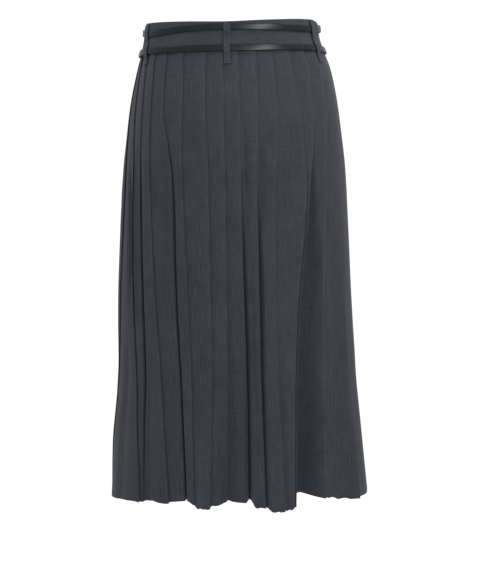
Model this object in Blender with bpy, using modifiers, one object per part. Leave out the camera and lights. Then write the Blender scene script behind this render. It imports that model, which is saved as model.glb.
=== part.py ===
"""Pleated midi skirt, worn form, with two narrow leather belts.

Units are metres, +Z up. The wearer's front faces -Y and the wearer's right is at -X. The origin is
on the axis of the waist, halfway between the two belts, where the wearer holds the skirt up.

Places on the skirt are given by an angle round the body and a height. The angle starts at the
centre back (+Y) and grows towards the wearer's right (-X), so 90 is the right side, 180 the centre
front and 270 (or -90) the left side.
"""

import math
from typing import NamedTuple

import bpy
import bmesh
from mathutils import Vector

MM = 0.001

# --- Heights and thicknesses ------------------------------------------------------------------
WAIST_SEAM = -0.0235  # lower edge of the waistband
HEM = -0.7035
SEAM_GAP = 0.3 * MM  # kept between pieces that touch
CLOTH = 1.1 * MM  # wall of the pleated cloth
BAND_WALL = 1.6 * MM  # waistband, two layers and its stay
PLY = 1.9 * MM  # from one layer of a folded pleat to the next
UNDERLAY = 8.0 * MM  # how far a closed pleat runs back under its fold edge
EMERGE = 3.0 * MM  # from a fold edge to where the next panel comes out from under it
FULLY_OPEN = 20.0 * MM  # depth at which a pleat's gap is a full open valley
FLOOR_LIFT = 0.16  # how far an open valley's floor is drawn up, for its depth
FLOOR_ALONG = 12.0 * MM  # how far the floor of the widest valley lies past its fold edge
HANG = 1.8 * MM  # how much shorter the cloth beside a fold edge hangs at the hem

# --- Heights at which the folds are set out ---------------------------------------------------
WAIST, HIP, SEAT, KNEE = -0.030, -0.100, -0.220, -0.420
FOLD_HEIGHTS = (WAIST, HIP, SEAT, KNEE, HEM)
WALL_HEIGHTS = (WAIST_SEAM - 2.0 * SEAM_GAP, -0.050, -0.080, -0.115, -0.150, -0.185, -0.225, -0.285,
                -0.360, -0.440, -0.530, -0.620, HEM)

# --- Belts and belt loops ---------------------------------------------------------------------
BELT_WIDTH = 9.7 * MM
BELT_WALL = 2.0 * MM
BELT_GAP = 0.4 * MM  # one lap of the belt to the next, and the belt to a loop over it
BELT_TAIL = 0.062  # free end past the buckle bar
LOOP_WIDTH = 9.5 * MM
LOOP_WALL = 1.0 * MM
BUCKLE_ANGLE = 180.0
BUCKLE_LENGTH = 15.0 * MM
BUCKLE_WIRE = 1.0 * MM  # radius
PRONG_WIRE = 0.7 * MM  # radius
PRONG_SLOT = (3.6 * MM, 8.6 * MM)  # slot in the tail, from the bar
KEEPER_WIDTH = 6.0 * MM
KEEPER_WALL = 1.0 * MM
KEEPER_PLACE = 0.022  # keeper's middle, along the belt from the buckle bar


class Section(NamedTuple):
    """The outline at one height, by its reach from the axis to each side."""

    z: float
    left: float
    right: float
    back: float
    front: float
    square: float  # 2 is an ellipse, more is squarer


OUTLINE = (
    #        z        left    right   back    front   square
    Section(0.0240, 0.1322, 0.1328, 0.0935, 0.0935, 2.35),
    Section(0.0000, 0.1345, 0.1352, 0.0960, 0.0955, 2.35),
    Section(-0.0235, 0.1395, 0.1425, 0.1000, 0.0985, 2.30),
    Section(-0.0500, 0.1470, 0.1522, 0.1070, 0.1030, 2.20),
    Section(-0.1000, 0.1583, 0.1618, 0.1200, 0.1090, 2.10),
    Section(-0.1500, 0.1656, 0.1676, 0.1280, 0.1120, 2.05),
    Section(-0.2000, 0.1724, 0.1724, 0.1310, 0.1140, 2.00),
    Section(-0.3000, 0.1795, 0.1763, 0.1310, 0.1180, 2.00),
    Section(-0.4000, 0.1845, 0.1794, 0.1300, 0.1220, 2.00),
    Section(-0.5000, 0.1864, 0.1842, 0.1300, 0.1260, 2.00),
    Section(-0.6000, 0.1950, 0.1926, 0.1340, 0.1310, 2.00),
    Section(-0.7035, 0.2015, 0.2018, 0.1390, 0.1360, 2.00),
)


class Fold(NamedTuple):
    """One knife pleat, by its fold edge, which points round towards growing angles.

    The first five columns are the edge's angle in degrees at FOLD_HEIGHTS. A gap is the open width
    beside the edge and a dip is how deep that gap runs in, both in mm at seat, knee and hem. Below
    the seat the edge swings out of the outline by out, and its hem is lifted by lift, in mm.
    """

    waist: float
    hip: float
    seat: float
    knee: float
    hem: float
    gap_seat: float = 0.0
    gap_knee: float = 0.0
    gap_hem: float = 0.0
    dip_seat: float = 0.0
    dip_knee: float = 0.0
    dip_hem: float = 0.0
    out: float = 0.0
    lift: float = 0.0


FOLDS = (
    #    waist    hip    seat   knee    hem | gap: seat knee hem | dip: seat knee hem | out lift
    Fold(-83.0, -82.0, -76.5, -79.0, -93.0, 2.0, 1.0, 1.0, 9.0, 5.0, 4.0, 0.0, -1.0),
    Fold(-75.0, -70.5, -64.6, -63.6, -59.8, 3.0, 3.0, 1.0, 11.0, 10.0, 4.0, -3.0, 0.0),
    Fold(-67.8, -62.8, -60.0, -58.9, -57.0, 4.0, 6.0, 4.0, 11.0, 15.0, 9.0, -6.0, 0.5),
    Fold(-59.0, -55.0, -52.1, -48.8, -40.5, 0.0, 0.0, 1.0, 4.0, 5.0, 7.0, -6.0, 1.0),
    Fold(-48.6, -45.4, -39.4, -37.8, -31.8, 12.0, 4.0, 4.0, 12.0, 15.0, 16.0, -14.0, 5.0),
    Fold(-35.8, -31.9, -30.0, -27.7, -24.8, 0.0, 0.0, 0.0, 4.0, 4.0, 5.0, -5.0, 2.0),
    Fold(-17.8, -15.8, -12.8, -12.7, -13.5, 0.0, 0.0, 1.0, 4.0, 4.0, 9.0, 13.0, -3.5),
    Fold(-3.3, -2.8, -1.8, -2.5, -4.5, 0.0, 0.0, 0.0, 4.0, 4.0, 6.0, -15.0, 4.5),
    Fold(9.2, 8.8, 8.5, 8.9, 7.8, 4.0, 8.0, 11.0, 9.0, 16.0, 24.0, -7.0, 4.0),
    Fold(23.0, 21.3, 18.8, 18.9, 20.4, 6.0, 9.0, 4.0, 10.0, 16.0, 14.0, 4.0, -2.5),
    Fold(35.2, 34.2, 30.3, 28.8, 27.6, 0.0, 1.0, 1.0, 4.0, 5.0, 5.0, 23.0, -6.0),
    Fold(47.3, 46.8, 44.4, 37.0, 31.4, 0.0, 0.0, 0.0, 4.0, 4.0, 4.0, 22.0, -5.5),
    Fold(58.8, 58.0, 52.4, 42.9, 33.8, 16.0, 40.0, 52.0, 12.0, 28.0, 60.0, 18.0, -0.5),
    Fold(70.0, 69.3, 65.5, 63.6, 58.5, 0.0, 1.0, 1.0, 4.0, 5.0, 5.0, -10.0, 3.5),
    Fold(82.5, 82.0, 78.5, 81.5, 72.5, 0.0, 3.0, 4.0, 4.0, 9.0, 10.0, 4.0, -2.0),
    Fold(93.0, 93.0, 91.5, 95.0, 92.0, 2.0, 2.0, 3.0, 7.0, 8.0, 10.0, -3.0, 6.0),
    Fold(103.5, 103.0, 101.0, 103.0, 103.5, 0.0, 0.0, 1.0, 4.0, 4.0, 6.0, -6.0, 2.0),
    Fold(114.0, 113.0, 110.0, 109.0, 111.0, 0.0, 2.0, 4.0, 4.0, 9.0, 14.0, 5.0, -1.0),
    Fold(125.0, 124.0, 121.0, 119.0, 118.0, 2.0, 5.0, 3.0, 8.0, 14.0, 12.0, -8.0, 3.0),
    Fold(137.0, 136.0, 133.0, 130.0, 126.0, 3.0, 7.0, 12.0, 8.0, 15.0, 24.0, 10.0, -3.0),
    Fold(149.5, 149.0, 147.0, 145.0, 142.0, 0.0, 0.0, 1.0, 4.0, 5.0, 8.0, -10.0, 4.0),
    Fold(164.0, 163.5, 162.0, 160.5, 158.0, 0.0, 0.0, 0.0, 4.0, 4.0, 5.0, -3.0, 1.0),
    Fold(179.0, 179.0, 178.0, 177.5, 175.0, 0.0, 3.0, 5.0, 4.0, 9.0, 14.0, 8.0, -2.0),
    Fold(194.0, 194.0, 193.5, 192.0, 190.0, 0.0, 0.0, 1.0, 4.0, 5.0, 7.0, -6.0, 2.0),
    Fold(208.0, 208.0, 208.0, 207.0, 204.0, 4.0, 6.0, 4.0, 9.0, 14.0, 12.0, 0.0, 0.0),
    Fold(220.5, 221.0, 221.5, 219.0, 213.0, 0.0, 4.0, 14.0, 4.0, 10.0, 26.0, 12.0, -3.0),
    Fold(232.5, 233.0, 234.0, 233.0, 229.0, 0.0, 0.0, 0.0, 4.0, 4.0, 6.0, -10.0, 4.0),
    Fold(244.5, 245.0, 246.0, 245.0, 241.0, 3.0, 4.0, 4.0, 8.0, 13.0, 14.0, 2.0, 0.0),
    Fold(255.5, 256.0, 257.0, 255.5, 249.5, 0.0, 0.0, 1.0, 4.0, 5.0, 7.0, -5.0, 2.0),
    Fold(266.5, 267.0, 269.5, 267.5, 258.0, 3.0, 5.0, 3.0, 9.0, 13.0, 10.0, 0.0, 0.0),
)
RIGHT_SEAM_FOLD = 14  # the side seams lie hidden under these folds
LEFT_SEAM_FOLD = 0


class Around(NamedTuple):
    """What runs round the waist, at an angle: heights, and each belt's room behind it."""

    angle: float
    edge: float  # the waistband's upper edge
    upper: float  # the middle of the upper belt
    lower: float  # the middle of the lower belt
    upper_room: float
    lower_room: float


WAIST_LINES = (
    #      angle    edge    upper    lower    rooms
    Around(-180.0, 0.0155, 0.0065, -0.0195, 2.4 * MM, 2.4 * MM),
    Around(-158.0, 0.0158, 0.0068, -0.0197, 2.2 * MM, 2.2 * MM),
    Around(-138.0, 0.0165, 0.0078, -0.0202, 0.5 * MM, 0.5 * MM),
    Around(-112.0, 0.0168, 0.0100, -0.0215, 0.6 * MM, 1.2 * MM),
    Around(-90.0, 0.0172, 0.0108, -0.0222, 0.8 * MM, 1.9 * MM),
    Around(-69.0, 0.0226, 0.0056, -0.0203, 0.5 * MM, 0.6 * MM),
    Around(-35.0, 0.0209, 0.0098, -0.0200, 0.4 * MM, 0.4 * MM),
    Around(0.0, 0.0192, 0.0115, -0.0203, 0.4 * MM, 0.4 * MM),
    Around(35.0, 0.0209, 0.0100, -0.0200, 0.4 * MM, 0.4 * MM),
    Around(70.0, 0.0228, 0.0080, -0.0200, 0.5 * MM, 0.6 * MM),
    Around(90.0, 0.0188, 0.0118, -0.0222, 2.0 * MM, 1.4 * MM),
    Around(112.0, 0.0172, 0.0102, -0.0212, 1.2 * MM, 1.2 * MM),
    Around(138.0, 0.0165, 0.0080, -0.0202, 0.5 * MM, 0.5 * MM),
    Around(158.0, 0.0158, 0.0068, -0.0197, 2.2 * MM, 2.2 * MM),
    Around(180.0, 0.0155, 0.0065, -0.0195, 2.4 * MM, 2.4 * MM),
)


class Loop(NamedTuple):
    """A belt loop: its angle at the top and at the foot, and the height of its foot."""

    top: float
    low: float
    foot: float


LOOPS = {
    "centre_back": Loop(0.0, 0.0, -0.0440),
    "back_right": Loop(70.8, 71.8, -0.0412),
    "back_left": Loop(-71.0, -66.5, -0.0400),
    "front_right": Loop(138.0, 138.0, -0.0420),
    "front_left": Loop(-138.0, -138.0, -0.0420),
}


def smooth(at, places, values):
    """Read a curve through (places, values) at one place. It never overshoots its points."""
    pairs = sorted(zip(places, values))
    xs = [pair[0] for pair in pairs]
    ys = [pair[1] for pair in pairs]
    slopes = [(ys[i + 1] - ys[i]) / (xs[i + 1] - xs[i]) for i in range(len(xs) - 1)]
    tangents = [slopes[0]]
    for before, after in zip(slopes, slopes[1:]):
        level = before * after <= 0.0
        tangents.append(0.0 if level else 2.0 * before * after / (before + after))
    tangents.append(slopes[-1])
    at = min(max(at, xs[0]), xs[-1])
    i = 0
    while i < len(slopes) - 1 and at > xs[i + 1]:
        i += 1
    step = xs[i + 1] - xs[i]
    t = (at - xs[i]) / step
    rise = t * t * (3.0 - 2.0 * t)
    return (
        ys[i] * (1.0 - rise)
        + ys[i + 1] * rise
        + step * (t * (1.0 - t) ** 2 * tangents[i] - t * t * (1.0 - t) * tangents[i + 1])
    )


def mix(a, b, t):
    """The value a share t of the way from a to b."""
    return a + (b - a) * t


def eased(t):
    """The share t with a soft start and a soft end."""
    return t * t * (3.0 - 2.0 * t)


def share(value, low, high):
    """How far value is from low to high, kept between 0 and 1."""
    return min(max((value - low) / (high - low), 0.0), 1.0)


def column(table, name, at, key="z"):
    """Read one named column of a table at a place along its key column."""
    return smooth(at, [getattr(row, key) for row in table], [getattr(row, name) for row in table])


# --- The outline and places on it -------------------------------------------------------------
def outline_at(z):
    """The outline's section at a height, smoothed between the table's rows."""
    return Section(z, *(column(OUTLINE, name, z) for name in Section._fields[1:]))


def on_outline(section, angle):
    """The point (x, y) of a section at an angle in degrees."""
    sine = math.sin(math.radians(angle))
    cosine = math.cos(math.radians(angle))
    across = section.right if sine > 0.0 else section.left
    along = section.back if cosine > 0.0 else section.front
    power = section.square
    radius = (abs(sine / across) ** power + abs(cosine / along) ** power) ** (-1.0 / power)
    return Vector((-radius * sine, radius * cosine))


def place(section, angle, along=0.0, outward=0.0, z=None):
    """A point reached from an angle by going along the outline and then straight out of it."""
    nudge = 0.5
    speed = (on_outline(section, angle + nudge) - on_outline(section, angle - nudge)).length
    angle += along / speed * 2.0 * nudge
    point = on_outline(section, angle)
    tangent = on_outline(section, angle + nudge) - on_outline(section, angle - nudge)
    normal = Vector((tangent.y, -tangent.x)).normalized()
    if normal.dot(point) < 0.0:
        normal.negate()
    point += normal * outward
    return Vector((point.x, point.y, section.z if z is None else z))


def girth(section, start, end):
    """The length round the outline from one angle to a greater one."""
    steps = max(2, round((end - start) / 3.0))
    points = [on_outline(section, mix(start, end, i / steps)) for i in range(steps + 1)]
    return sum((b - a).length for a, b in zip(points, points[1:]))


# --- Objects ----------------------------------------------------------------------------------
def material(name, colour, roughness, metallic=0.0):
    """A Principled material."""
    made = bpy.data.materials.new(name)
    made.use_nodes = True
    shader = made.node_tree.nodes["Principled BSDF"]
    shader.inputs["Base Color"].default_value = (*colour, 1.0)
    shader.inputs["Roughness"].default_value = roughness
    shader.inputs["Metallic"].default_value = metallic
    return made


def add_object(name, data, finish):
    """Link an object to the skirt's collection."""
    made = bpy.data.objects.new(name, data)
    if finish is not None:
        data.materials.append(finish)
    bpy.data.collections[COLLECTION].objects.link(made)
    return made


def sheet(name, grid, wall, finish, closed=False):
    """A wall of even thickness about a grid of points, given as rows of equal length."""
    mesh = bmesh.new()
    rows = [[mesh.verts.new(point) for point in row] for row in grid]
    for upper, lower in zip(rows, rows[1:]):
        last = len(upper) if closed else len(upper) - 1
        for i in range(last):
            j = (i + 1) % len(upper)
            mesh.faces.new((upper[i], upper[j], lower[j], lower[i]))
    data = bpy.data.meshes.new(name)
    mesh.to_mesh(data)
    mesh.free()
    made = add_object(name, data, finish)
    thicken = made.modifiers.new("Wall", "SOLIDIFY")
    thicken.thickness = wall
    thicken.offset = 0.0
    thicken.use_even_offset = True
    data.shade_smooth()
    data.set_sharp_from_angle(angle=math.radians(35.0))
    return made


def wire(name, points, radius, finish, cyclic=False):
    """A round wire along a list of points."""
    data = bpy.data.curves.new(name, "CURVE")
    data.dimensions = "3D"
    data.bevel_depth = radius
    data.bevel_resolution = 2
    data.use_fill_caps = not cyclic
    spline = data.splines.new("POLY")
    spline.points.add(len(points) - 1)
    for target, point in zip(spline.points, points):
        target.co = (*point, 1.0)
    spline.use_cyclic_u = cyclic
    return add_object(name, data, finish)


# --- Pleats -----------------------------------------------------------------------------------
class FoldHere(NamedTuple):
    """A fold as it is at one height, in degrees and metres."""

    angle: float
    gap: float
    dip: float
    out: float
    lift: float


def fold_at(fold, z):
    """Work out a fold's edge and its gap at a height."""
    closed = 2.0 * PLY / MM
    drop = share(z, SEAT, HEM)
    return FoldHere(
        angle=smooth(z, FOLD_HEIGHTS, fold[:5]),
        gap=MM * smooth(z, FOLD_HEIGHTS, (0.0, 0.0, *fold[5:8])),
        dip=MM * smooth(z, FOLD_HEIGHTS, (closed, closed, *(max(closed, dip) for dip in fold[8:11]))),
        out=MM * fold.out * drop ** 1.5,
        lift=MM * fold.lift * drop ** 2,
    )


def fold_number(number, z):
    """The fold of any number at a height. Numbers run on past the last fold for a second turn."""
    turn, index = divmod(number, len(FOLDS))
    here = fold_at(FOLDS[index], z)
    return here._replace(angle=here.angle + 360.0 * turn)


def openness(fold):
    """0 where the fold's layers lie flat on each other, 1 where its gap is a full open valley."""
    return share(fold.dip, 2.0 * PLY, FULLY_OPEN)


class Start(NamedTuple):
    """Where a panel comes out beside the fold edge before it, in metres."""

    along: float  # from that edge
    depth: float  # below the level between the two fold edges
    out: float
    lift: float
    free: float  # the panel's width from here to its own fold edge


def panel_start(section, fold, after):
    """Work out where the panel between one fold and the next starts."""
    opened = openness(fold)
    width = girth(section, fold.angle, after.angle)
    along = min(mix(EMERGE, fold.gap + 0.6 * EMERGE, opened), mix(0.6, 0.85, opened) * width)
    toward = share(along, 0.0, 0.6 * width)
    lift = mix(fold.lift, after.lift, toward) + HANG * share(section.z, SEAT, HEM) ** 2
    return Start(
        along=along,
        depth=mix(2.0 * PLY, 0.6 * PLY, opened),
        out=mix(fold.out, after.out, toward),
        lift=lift,
        free=width - along,
    )


def pleat_points(section, before, fold, after):
    """The wall's middle line over one panel, round its fold edge and to the next panel's start.

    Args:
        section: the outline at this height.
        before: the fold beside which the panel starts.
        fold: the fold at the panel's end.
        after: the next fold.

    Returns:
        Seven points: two on the panel, two at the fold edge, two at the bottom of the underlay or
        of the open gap, and the next panel's start.
    """
    z = section.z
    level = -CLOTH / 2.0
    start = panel_start(section, before, fold)
    tucked = min(UNDERLAY, 0.42 * start.free)

    def on_panel(t):
        swing = mix(t, eased(t), 0.85)
        outward = level - start.depth * (1.0 - t) ** 1.6 + mix(start.out, fold.out, swing)
        lifted = z + mix(start.lift, fold.lift, swing)
        return place(section, before.angle, start.along + start.free * t, outward, lifted)

    def beside_edge(along, outward, lifted=0.0):
        outward += level + fold.out
        return place(section, fold.angle, along, outward, z + fold.lift + lifted)

    last = 1.0 - tucked / start.free
    edge = beside_edge(0.0, 0.0)
    panel = [on_panel(0.5 * last), on_panel(last)]
    onward = edge - panel[-1]
    onward.z = 0.0
    tucked = 0.95 * onward.length
    onward.normalize()
    inward = Vector((0.0, 0.0, 1.0)).cross(onward)
    if inward.dot(edge) > 0.0:
        inward.negate()
    opened = openness(fold)
    turned = math.radians(90.0 * opened)
    inner = edge + inward * PLY
    floor_closed = inner - onward * tucked
    floor_along = min(0.5 * (fold.gap - PLY), FLOOR_ALONG)
    floor_open = beside_edge(floor_along, -fold.dip, FLOOR_LIFT * fold.dip)
    floor = floor_closed.lerp(floor_open, opened)
    floor_end = floor + (inward * math.cos(turned) + onward * math.sin(turned)) * PLY
    after_start = panel_start(section, fold, after)
    outward = level + after_start.out - after_start.depth
    beyond = place(section, fold.angle, after_start.along, outward, z + after_start.lift)
    clear = (edge + inward * 2.0 * PLY - beyond).dot(inward)
    if clear > 0.0:
        beyond += inward * clear * (1.0 - opened)
    return [*panel, edge, inner, floor, floor_end, beyond]


def wall_row(z, first, last):
    """The middle line of the pleated wall at a height, from one hidden seam to the other."""
    section = outline_at(z)
    pleats = []
    for number in range(first, last + 1):
        trio = [fold_number(number + step, z) for step in (-1, 0, 1)]
        pleats.append(pleat_points(section, *trio))
    half_gap = SEAM_GAP / 2.0
    toward, away = pleats[0][-2:]
    start = (toward + away) / 2.0 + (away - toward).normalized() * half_gap
    toward, away = pleats[-1][-2:]
    end = (toward + away) / 2.0 - (away - toward).normalized() * half_gap
    between = [point for pleat in pleats[1:] for point in pleat]
    return [start, pleats[0][-1], *between[:-1], end]


def pleated_panel(name, first, last, finish):
    """A pleated panel from the seam under one fold to the seam under another."""
    grid = [wall_row(z, first, last) for z in WALL_HEIGHTS]
    return sheet(name, grid, CLOTH, finish)


# --- Waistband --------------------------------------------------------------------------------
def round_waist(name, angle):
    """Read one column of the waist's lines at an angle of any turn."""
    return column(WAIST_LINES, name, (angle + 180.0) % 360.0 - 180.0, key="angle")


def waistband(name, start, end, finish):
    """Half of the waistband, between the two side seams."""
    steps = 44
    rows = 2
    grid = []
    for row in range(rows + 1):
        points = []
        for i in range(steps + 1):
            angle = mix(start, end, i / steps)
            z = mix(round_waist("edge", angle), WAIST_SEAM, row / rows)
            ends = (i == 0) - (i == steps)
            points.append(place(outline_at(z), angle, ends * SEAM_GAP / 2.0, -BAND_WALL / 2.0))
        grid.append(points)
    return sheet(name, grid, BAND_WALL, finish)


# --- Belts ------------------------------------------------------------------------------------
def belt_room(line, angle):
    """How far a belt's inner face stands off the waistband."""
    return round_waist(line + "_room", angle)


def degrees_along(length):
    """The angle that a length takes up along the belt at the centre front."""
    section = outline_at(0.0)
    return length / girth(section, BUCKLE_ANGLE, BUCKLE_ANGLE + 10.0) * 10.0


def belt_lap(angle):
    """0 on the belt's first lap, 1 where its tail lies on top, rising inside the buckle."""
    past = angle - (BUCKLE_ANGLE + 360.0)
    return share(past, -degrees_along(BUCKLE_LENGTH * 0.75), -degrees_along(BUCKLE_LENGTH * 0.15))


def on_belt(line, angle, across=0.0, outward=0.0):
    """A point on a belt's line, across it in height and outward from the waistband."""
    return place(outline_at(round_waist(line, angle) + across), angle, 0.0, outward)


def belt_strap(name, line, finish):
    """The strap, once round from the buckle bar and on through the buckle to its tail."""
    bar = degrees_along(BUCKLE_WIRE + SEAM_GAP)
    start = BUCKLE_ANGLE + bar
    end = BUCKLE_ANGLE + 360.0 + degrees_along(BELT_TAIL)
    tip = degrees_along(BELT_WIDTH * 0.8)
    coarse, fine = 3.5, 1.5
    angles = [start]
    while angles[-1] < end - fine:
        near_buckle = angles[-1] > BUCKLE_ANGLE + 360.0 - 14.0
        angles.append(min(angles[-1] + (fine if near_buckle else coarse), end))
    grid = [[], []]
    for angle in angles:
        outward = belt_room(line, angle) + BELT_WALL / 2.0 + belt_lap(angle) * (BELT_WALL + BELT_GAP)
        half = BELT_WIDTH / 2.0 * math.sqrt(1.0 - 0.85 * share(angle, end - tip, end) ** 2)
        for row, across in zip(grid, (half, -half)):
            row.append(on_belt(line, angle, across, outward))
    strap = sheet(name, grid, BELT_WALL, finish)
    cutter = prong_hole(name, line)
    cut = strap.modifiers.new("Prong hole", "BOOLEAN")
    cut.operation = "DIFFERENCE"
    cut.object = cutter
    return strap


def frame_angle(along):
    """The angle of a point on the buckle, measured from its bar towards its far side."""
    return BUCKLE_ANGLE - degrees_along(along)


def frame_outward(line, along):
    """How far the buckle frame's wire lies from the waistband: under the tail, then over it."""
    low = belt_room(line, BUCKLE_ANGLE) + BUCKLE_WIRE
    high = belt_room(line, BUCKLE_ANGLE) + BELT_WALL + BELT_GAP + BUCKLE_WIRE
    return mix(low, high, share(along, 0.0, BUCKLE_LENGTH))


def prong_hole(name, line):
    """The cutter for the slot in the tail that the prong comes up through."""
    mesh = bmesh.new()
    bmesh.ops.create_cone(mesh, cap_ends=True, segments=12, radius1=0.5, radius2=0.5, depth=0.02)
    data = bpy.data.meshes.new(name + "_hole_cutter")
    mesh.to_mesh(data)
    mesh.free()
    cutter = bpy.data.objects.new(name + "_hole_cutter", data)
    middle = frame_angle(sum(PRONG_SLOT) / 2.0)
    inner = on_belt(line, middle, 0.0, 0.0)
    direction = (on_belt(line, middle, 0.0, 1.0) - inner).normalized()
    cutter.location = inner + direction * (belt_room(line, BUCKLE_ANGLE) + BELT_WALL)
    cutter.rotation_mode = "QUATERNION"
    cutter.rotation_quaternion = direction.to_track_quat("Z", "Y")
    cutter.scale = (PRONG_SLOT[1] - PRONG_SLOT[0], 2.0 * (PRONG_WIRE + 0.5 * MM), 1.0)
    cutter.hide_render = True
    cutter.display_type = "WIRE"
    bpy.data.collections[CUTTERS].objects.link(cutter)
    return cutter


def buckle_frame(name, line, finish):
    """A rounded rectangle of wire: the strap hangs on its bar, the tail passes under its far side."""
    half = BELT_WIDTH / 2.0 + BUCKLE_WIRE + 0.8 * MM
    corner = 3.0 * MM
    steps = 4
    points = []
    for side_along, side_across in ((1, 1), (0, 1), (0, -1), (1, -1)):
        centre_along = BUCKLE_LENGTH - corner if side_along else corner
        centre_across = side_across * (half - corner)
        first = {(1, 1): 0.0, (0, 1): 90.0, (0, -1): 180.0, (1, -1): 270.0}[side_along, side_across]
        for i in range(steps + 1):
            turn = math.radians(first + 90.0 * i / steps)
            along = centre_along + corner * math.cos(turn)
            across = centre_across + corner * math.sin(turn)
            points.append(on_belt(line, frame_angle(along), across, frame_outward(line, along)))
    return wire(name, points, BUCKLE_WIRE, finish, cyclic=True)


def buckle_prong(name, line, finish):
    """The prong, from beside the bar, up through the tail and onto the frame's far side."""
    rest = frame_outward(line, BUCKLE_LENGTH) + BUCKLE_WIRE + SEAM_GAP + PRONG_WIRE
    root = frame_outward(line, 0.0)
    stations = (
        # along the frame from its bar, and outward from the waistband
        (BUCKLE_WIRE + SEAM_GAP + PRONG_WIRE, root),
        (PRONG_SLOT[0] + 0.4 * MM, root),
        (PRONG_SLOT[1] - 0.1 * MM, mix(root, rest, 0.64)),
        (BUCKLE_LENGTH - 1.0 * MM, rest),
        (BUCKLE_LENGTH + 0.5 * MM, rest),
        (BUCKLE_LENGTH + 1.8 * MM, rest - 0.2 * MM),
    )
    alongs = [along for along, _ in stations]
    heights = [outward for _, outward in stations]
    steps = 10
    points = []
    for i in range(steps + 1):
        along = mix(alongs[0], alongs[-1], i / steps)
        points.append(on_belt(line, frame_angle(along), 0.0, smooth(along, alongs, heights)))
    return wire(name, points, PRONG_WIRE, finish)


def belt_keeper(name, line, finish):
    """The leather keeper round the strap and the tail lying on it."""
    angle = BUCKLE_ANGLE + degrees_along(KEEPER_PLACE)
    inner = belt_room(line, angle) - SEAM_GAP - KEEPER_WALL / 2.0
    outer = belt_room(line, angle) + 2.0 * BELT_WALL + BELT_GAP + SEAM_GAP + KEEPER_WALL / 2.0
    half = BELT_WIDTH / 2.0 + SEAM_GAP + KEEPER_WALL / 2.0
    corner = 0.7 * MM
    ring = []
    for across, outward in ((half, inner), (-half, inner), (-half, outer), (half, outer)):
        toward_across = -math.copysign(corner, across)
        toward_outward = corner if outward == inner else -corner
        pair = [(across + toward_across, outward), (across, outward + toward_outward)]
        if (across > 0.0) == (outward == inner):
            pair.reverse()
        ring += pair
    grid = []
    for side in (-0.5, 0.5):
        turned = angle + degrees_along(KEEPER_WIDTH) * side
        grid.append([on_belt(line, turned, across, outward) for across, outward in ring])
    return sheet(name, grid, KEEPER_WALL, finish, closed=True)


# --- Belt loops -------------------------------------------------------------------------------
def belt_loop(name, loop, finish):
    """A narrow strap sewn on above and below the belts, and standing clear over both of them."""
    seated = SEAM_GAP + LOOP_WALL / 2.0
    middle = mix(loop.top, loop.low, 0.5)
    upper, lower = round_waist("upper", middle), round_waist("lower", middle)
    over = BELT_WALL + BELT_GAP + LOOP_WALL / 2.0
    over_upper = belt_room("upper", middle) + over
    over_lower = belt_room("lower", middle) + over
    half = BELT_WIDTH / 2.0
    top = round_waist("edge", middle) - 0.2 * MM
    stations = (
        (top, mix(seated, over_upper, share(top, upper + half + 6.0 * MM, upper + half))),
        (upper + half + 1.4 * MM, mix(seated, over_upper, 0.75)),
        (upper + half - 0.4 * MM, over_upper),
        (upper - half + 0.4 * MM, over_upper),
        (mix(upper, lower, 0.5), mix(seated, over_upper, 0.35)),
        (lower + half - 0.4 * MM, over_lower),
        (lower - half + 0.4 * MM, over_lower),
        (lower - half - 4.0 * MM, mix(seated, over_lower, 0.45)),
        (loop.foot + 5.0 * MM, seated + 0.1 * MM),
        (loop.foot, seated),
    )
    grid = []
    for z, outward in stations:
        angle = mix(loop.top, loop.low, share(z, top, loop.foot))
        widths = (-LOOP_WIDTH / 2.0, 0.0, LOOP_WIDTH / 2.0)
        grid.append([place(outline_at(z), angle, along, outward) for along in widths])
    return sheet(name, grid, LOOP_WALL, finish)


# --- The whole skirt --------------------------------------------------------------------------
COLLECTION = "Pleated skirt"
CUTTERS = "Cutters"


def clear_scene():
    """Empty the scene and make the two collections."""
    for old in list(bpy.data.objects):
        bpy.data.objects.remove(old, do_unlink=True)
    for name in (COLLECTION, CUTTERS):
        bpy.context.scene.collection.children.link(bpy.data.collections.new(name))


def build():
    """Make every piece of the skirt and its belts."""
    clear_scene()
    cloth = material("Charcoal wool", (0.052, 0.055, 0.064), 0.85)
    leather = material("Black leather", (0.022, 0.023, 0.026), 0.35)
    metal = material("Polished steel", (0.60, 0.59, 0.57), 0.25, metallic=1.0)

    count = len(FOLDS)
    right = FOLDS[RIGHT_SEAM_FOLD].waist
    left = FOLDS[LEFT_SEAM_FOLD].waist
    waistband("waistband_back", left, right, cloth)
    waistband("waistband_front", right, left + 360.0, cloth)
    pleated_panel("skirt_back", LEFT_SEAM_FOLD, RIGHT_SEAM_FOLD, cloth)
    pleated_panel("skirt_front", RIGHT_SEAM_FOLD, count + LEFT_SEAM_FOLD, cloth)
    for where, loop in LOOPS.items():
        belt_loop("belt_loop_" + where, loop, cloth)
    for line in ("upper", "lower"):
        name = "belt_" + line
        belt_strap(name + "_strap", line, leather)
        buckle_frame(name + "_buckle", line, metal)
        buckle_prong(name + "_prong", line, metal)
        belt_keeper(name + "_keeper", line, leather)


build()
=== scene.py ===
"""Dressed model of a pleated wool midi skirt in its worn form, with two narrow leather belts.

Units are metres, +Z up. The wearer's front faces -Y and the wearer's right is at -X. A place on the
skirt is an angle round the body, from the centre back towards the wearer's right, and a height.
"""

import bisect
import logging
import math
from dataclasses import dataclass, field
from enum import Enum
from typing import Callable, NamedTuple, Sequence

import bpy
import bmesh
from mathutils import Matrix, Vector


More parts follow.
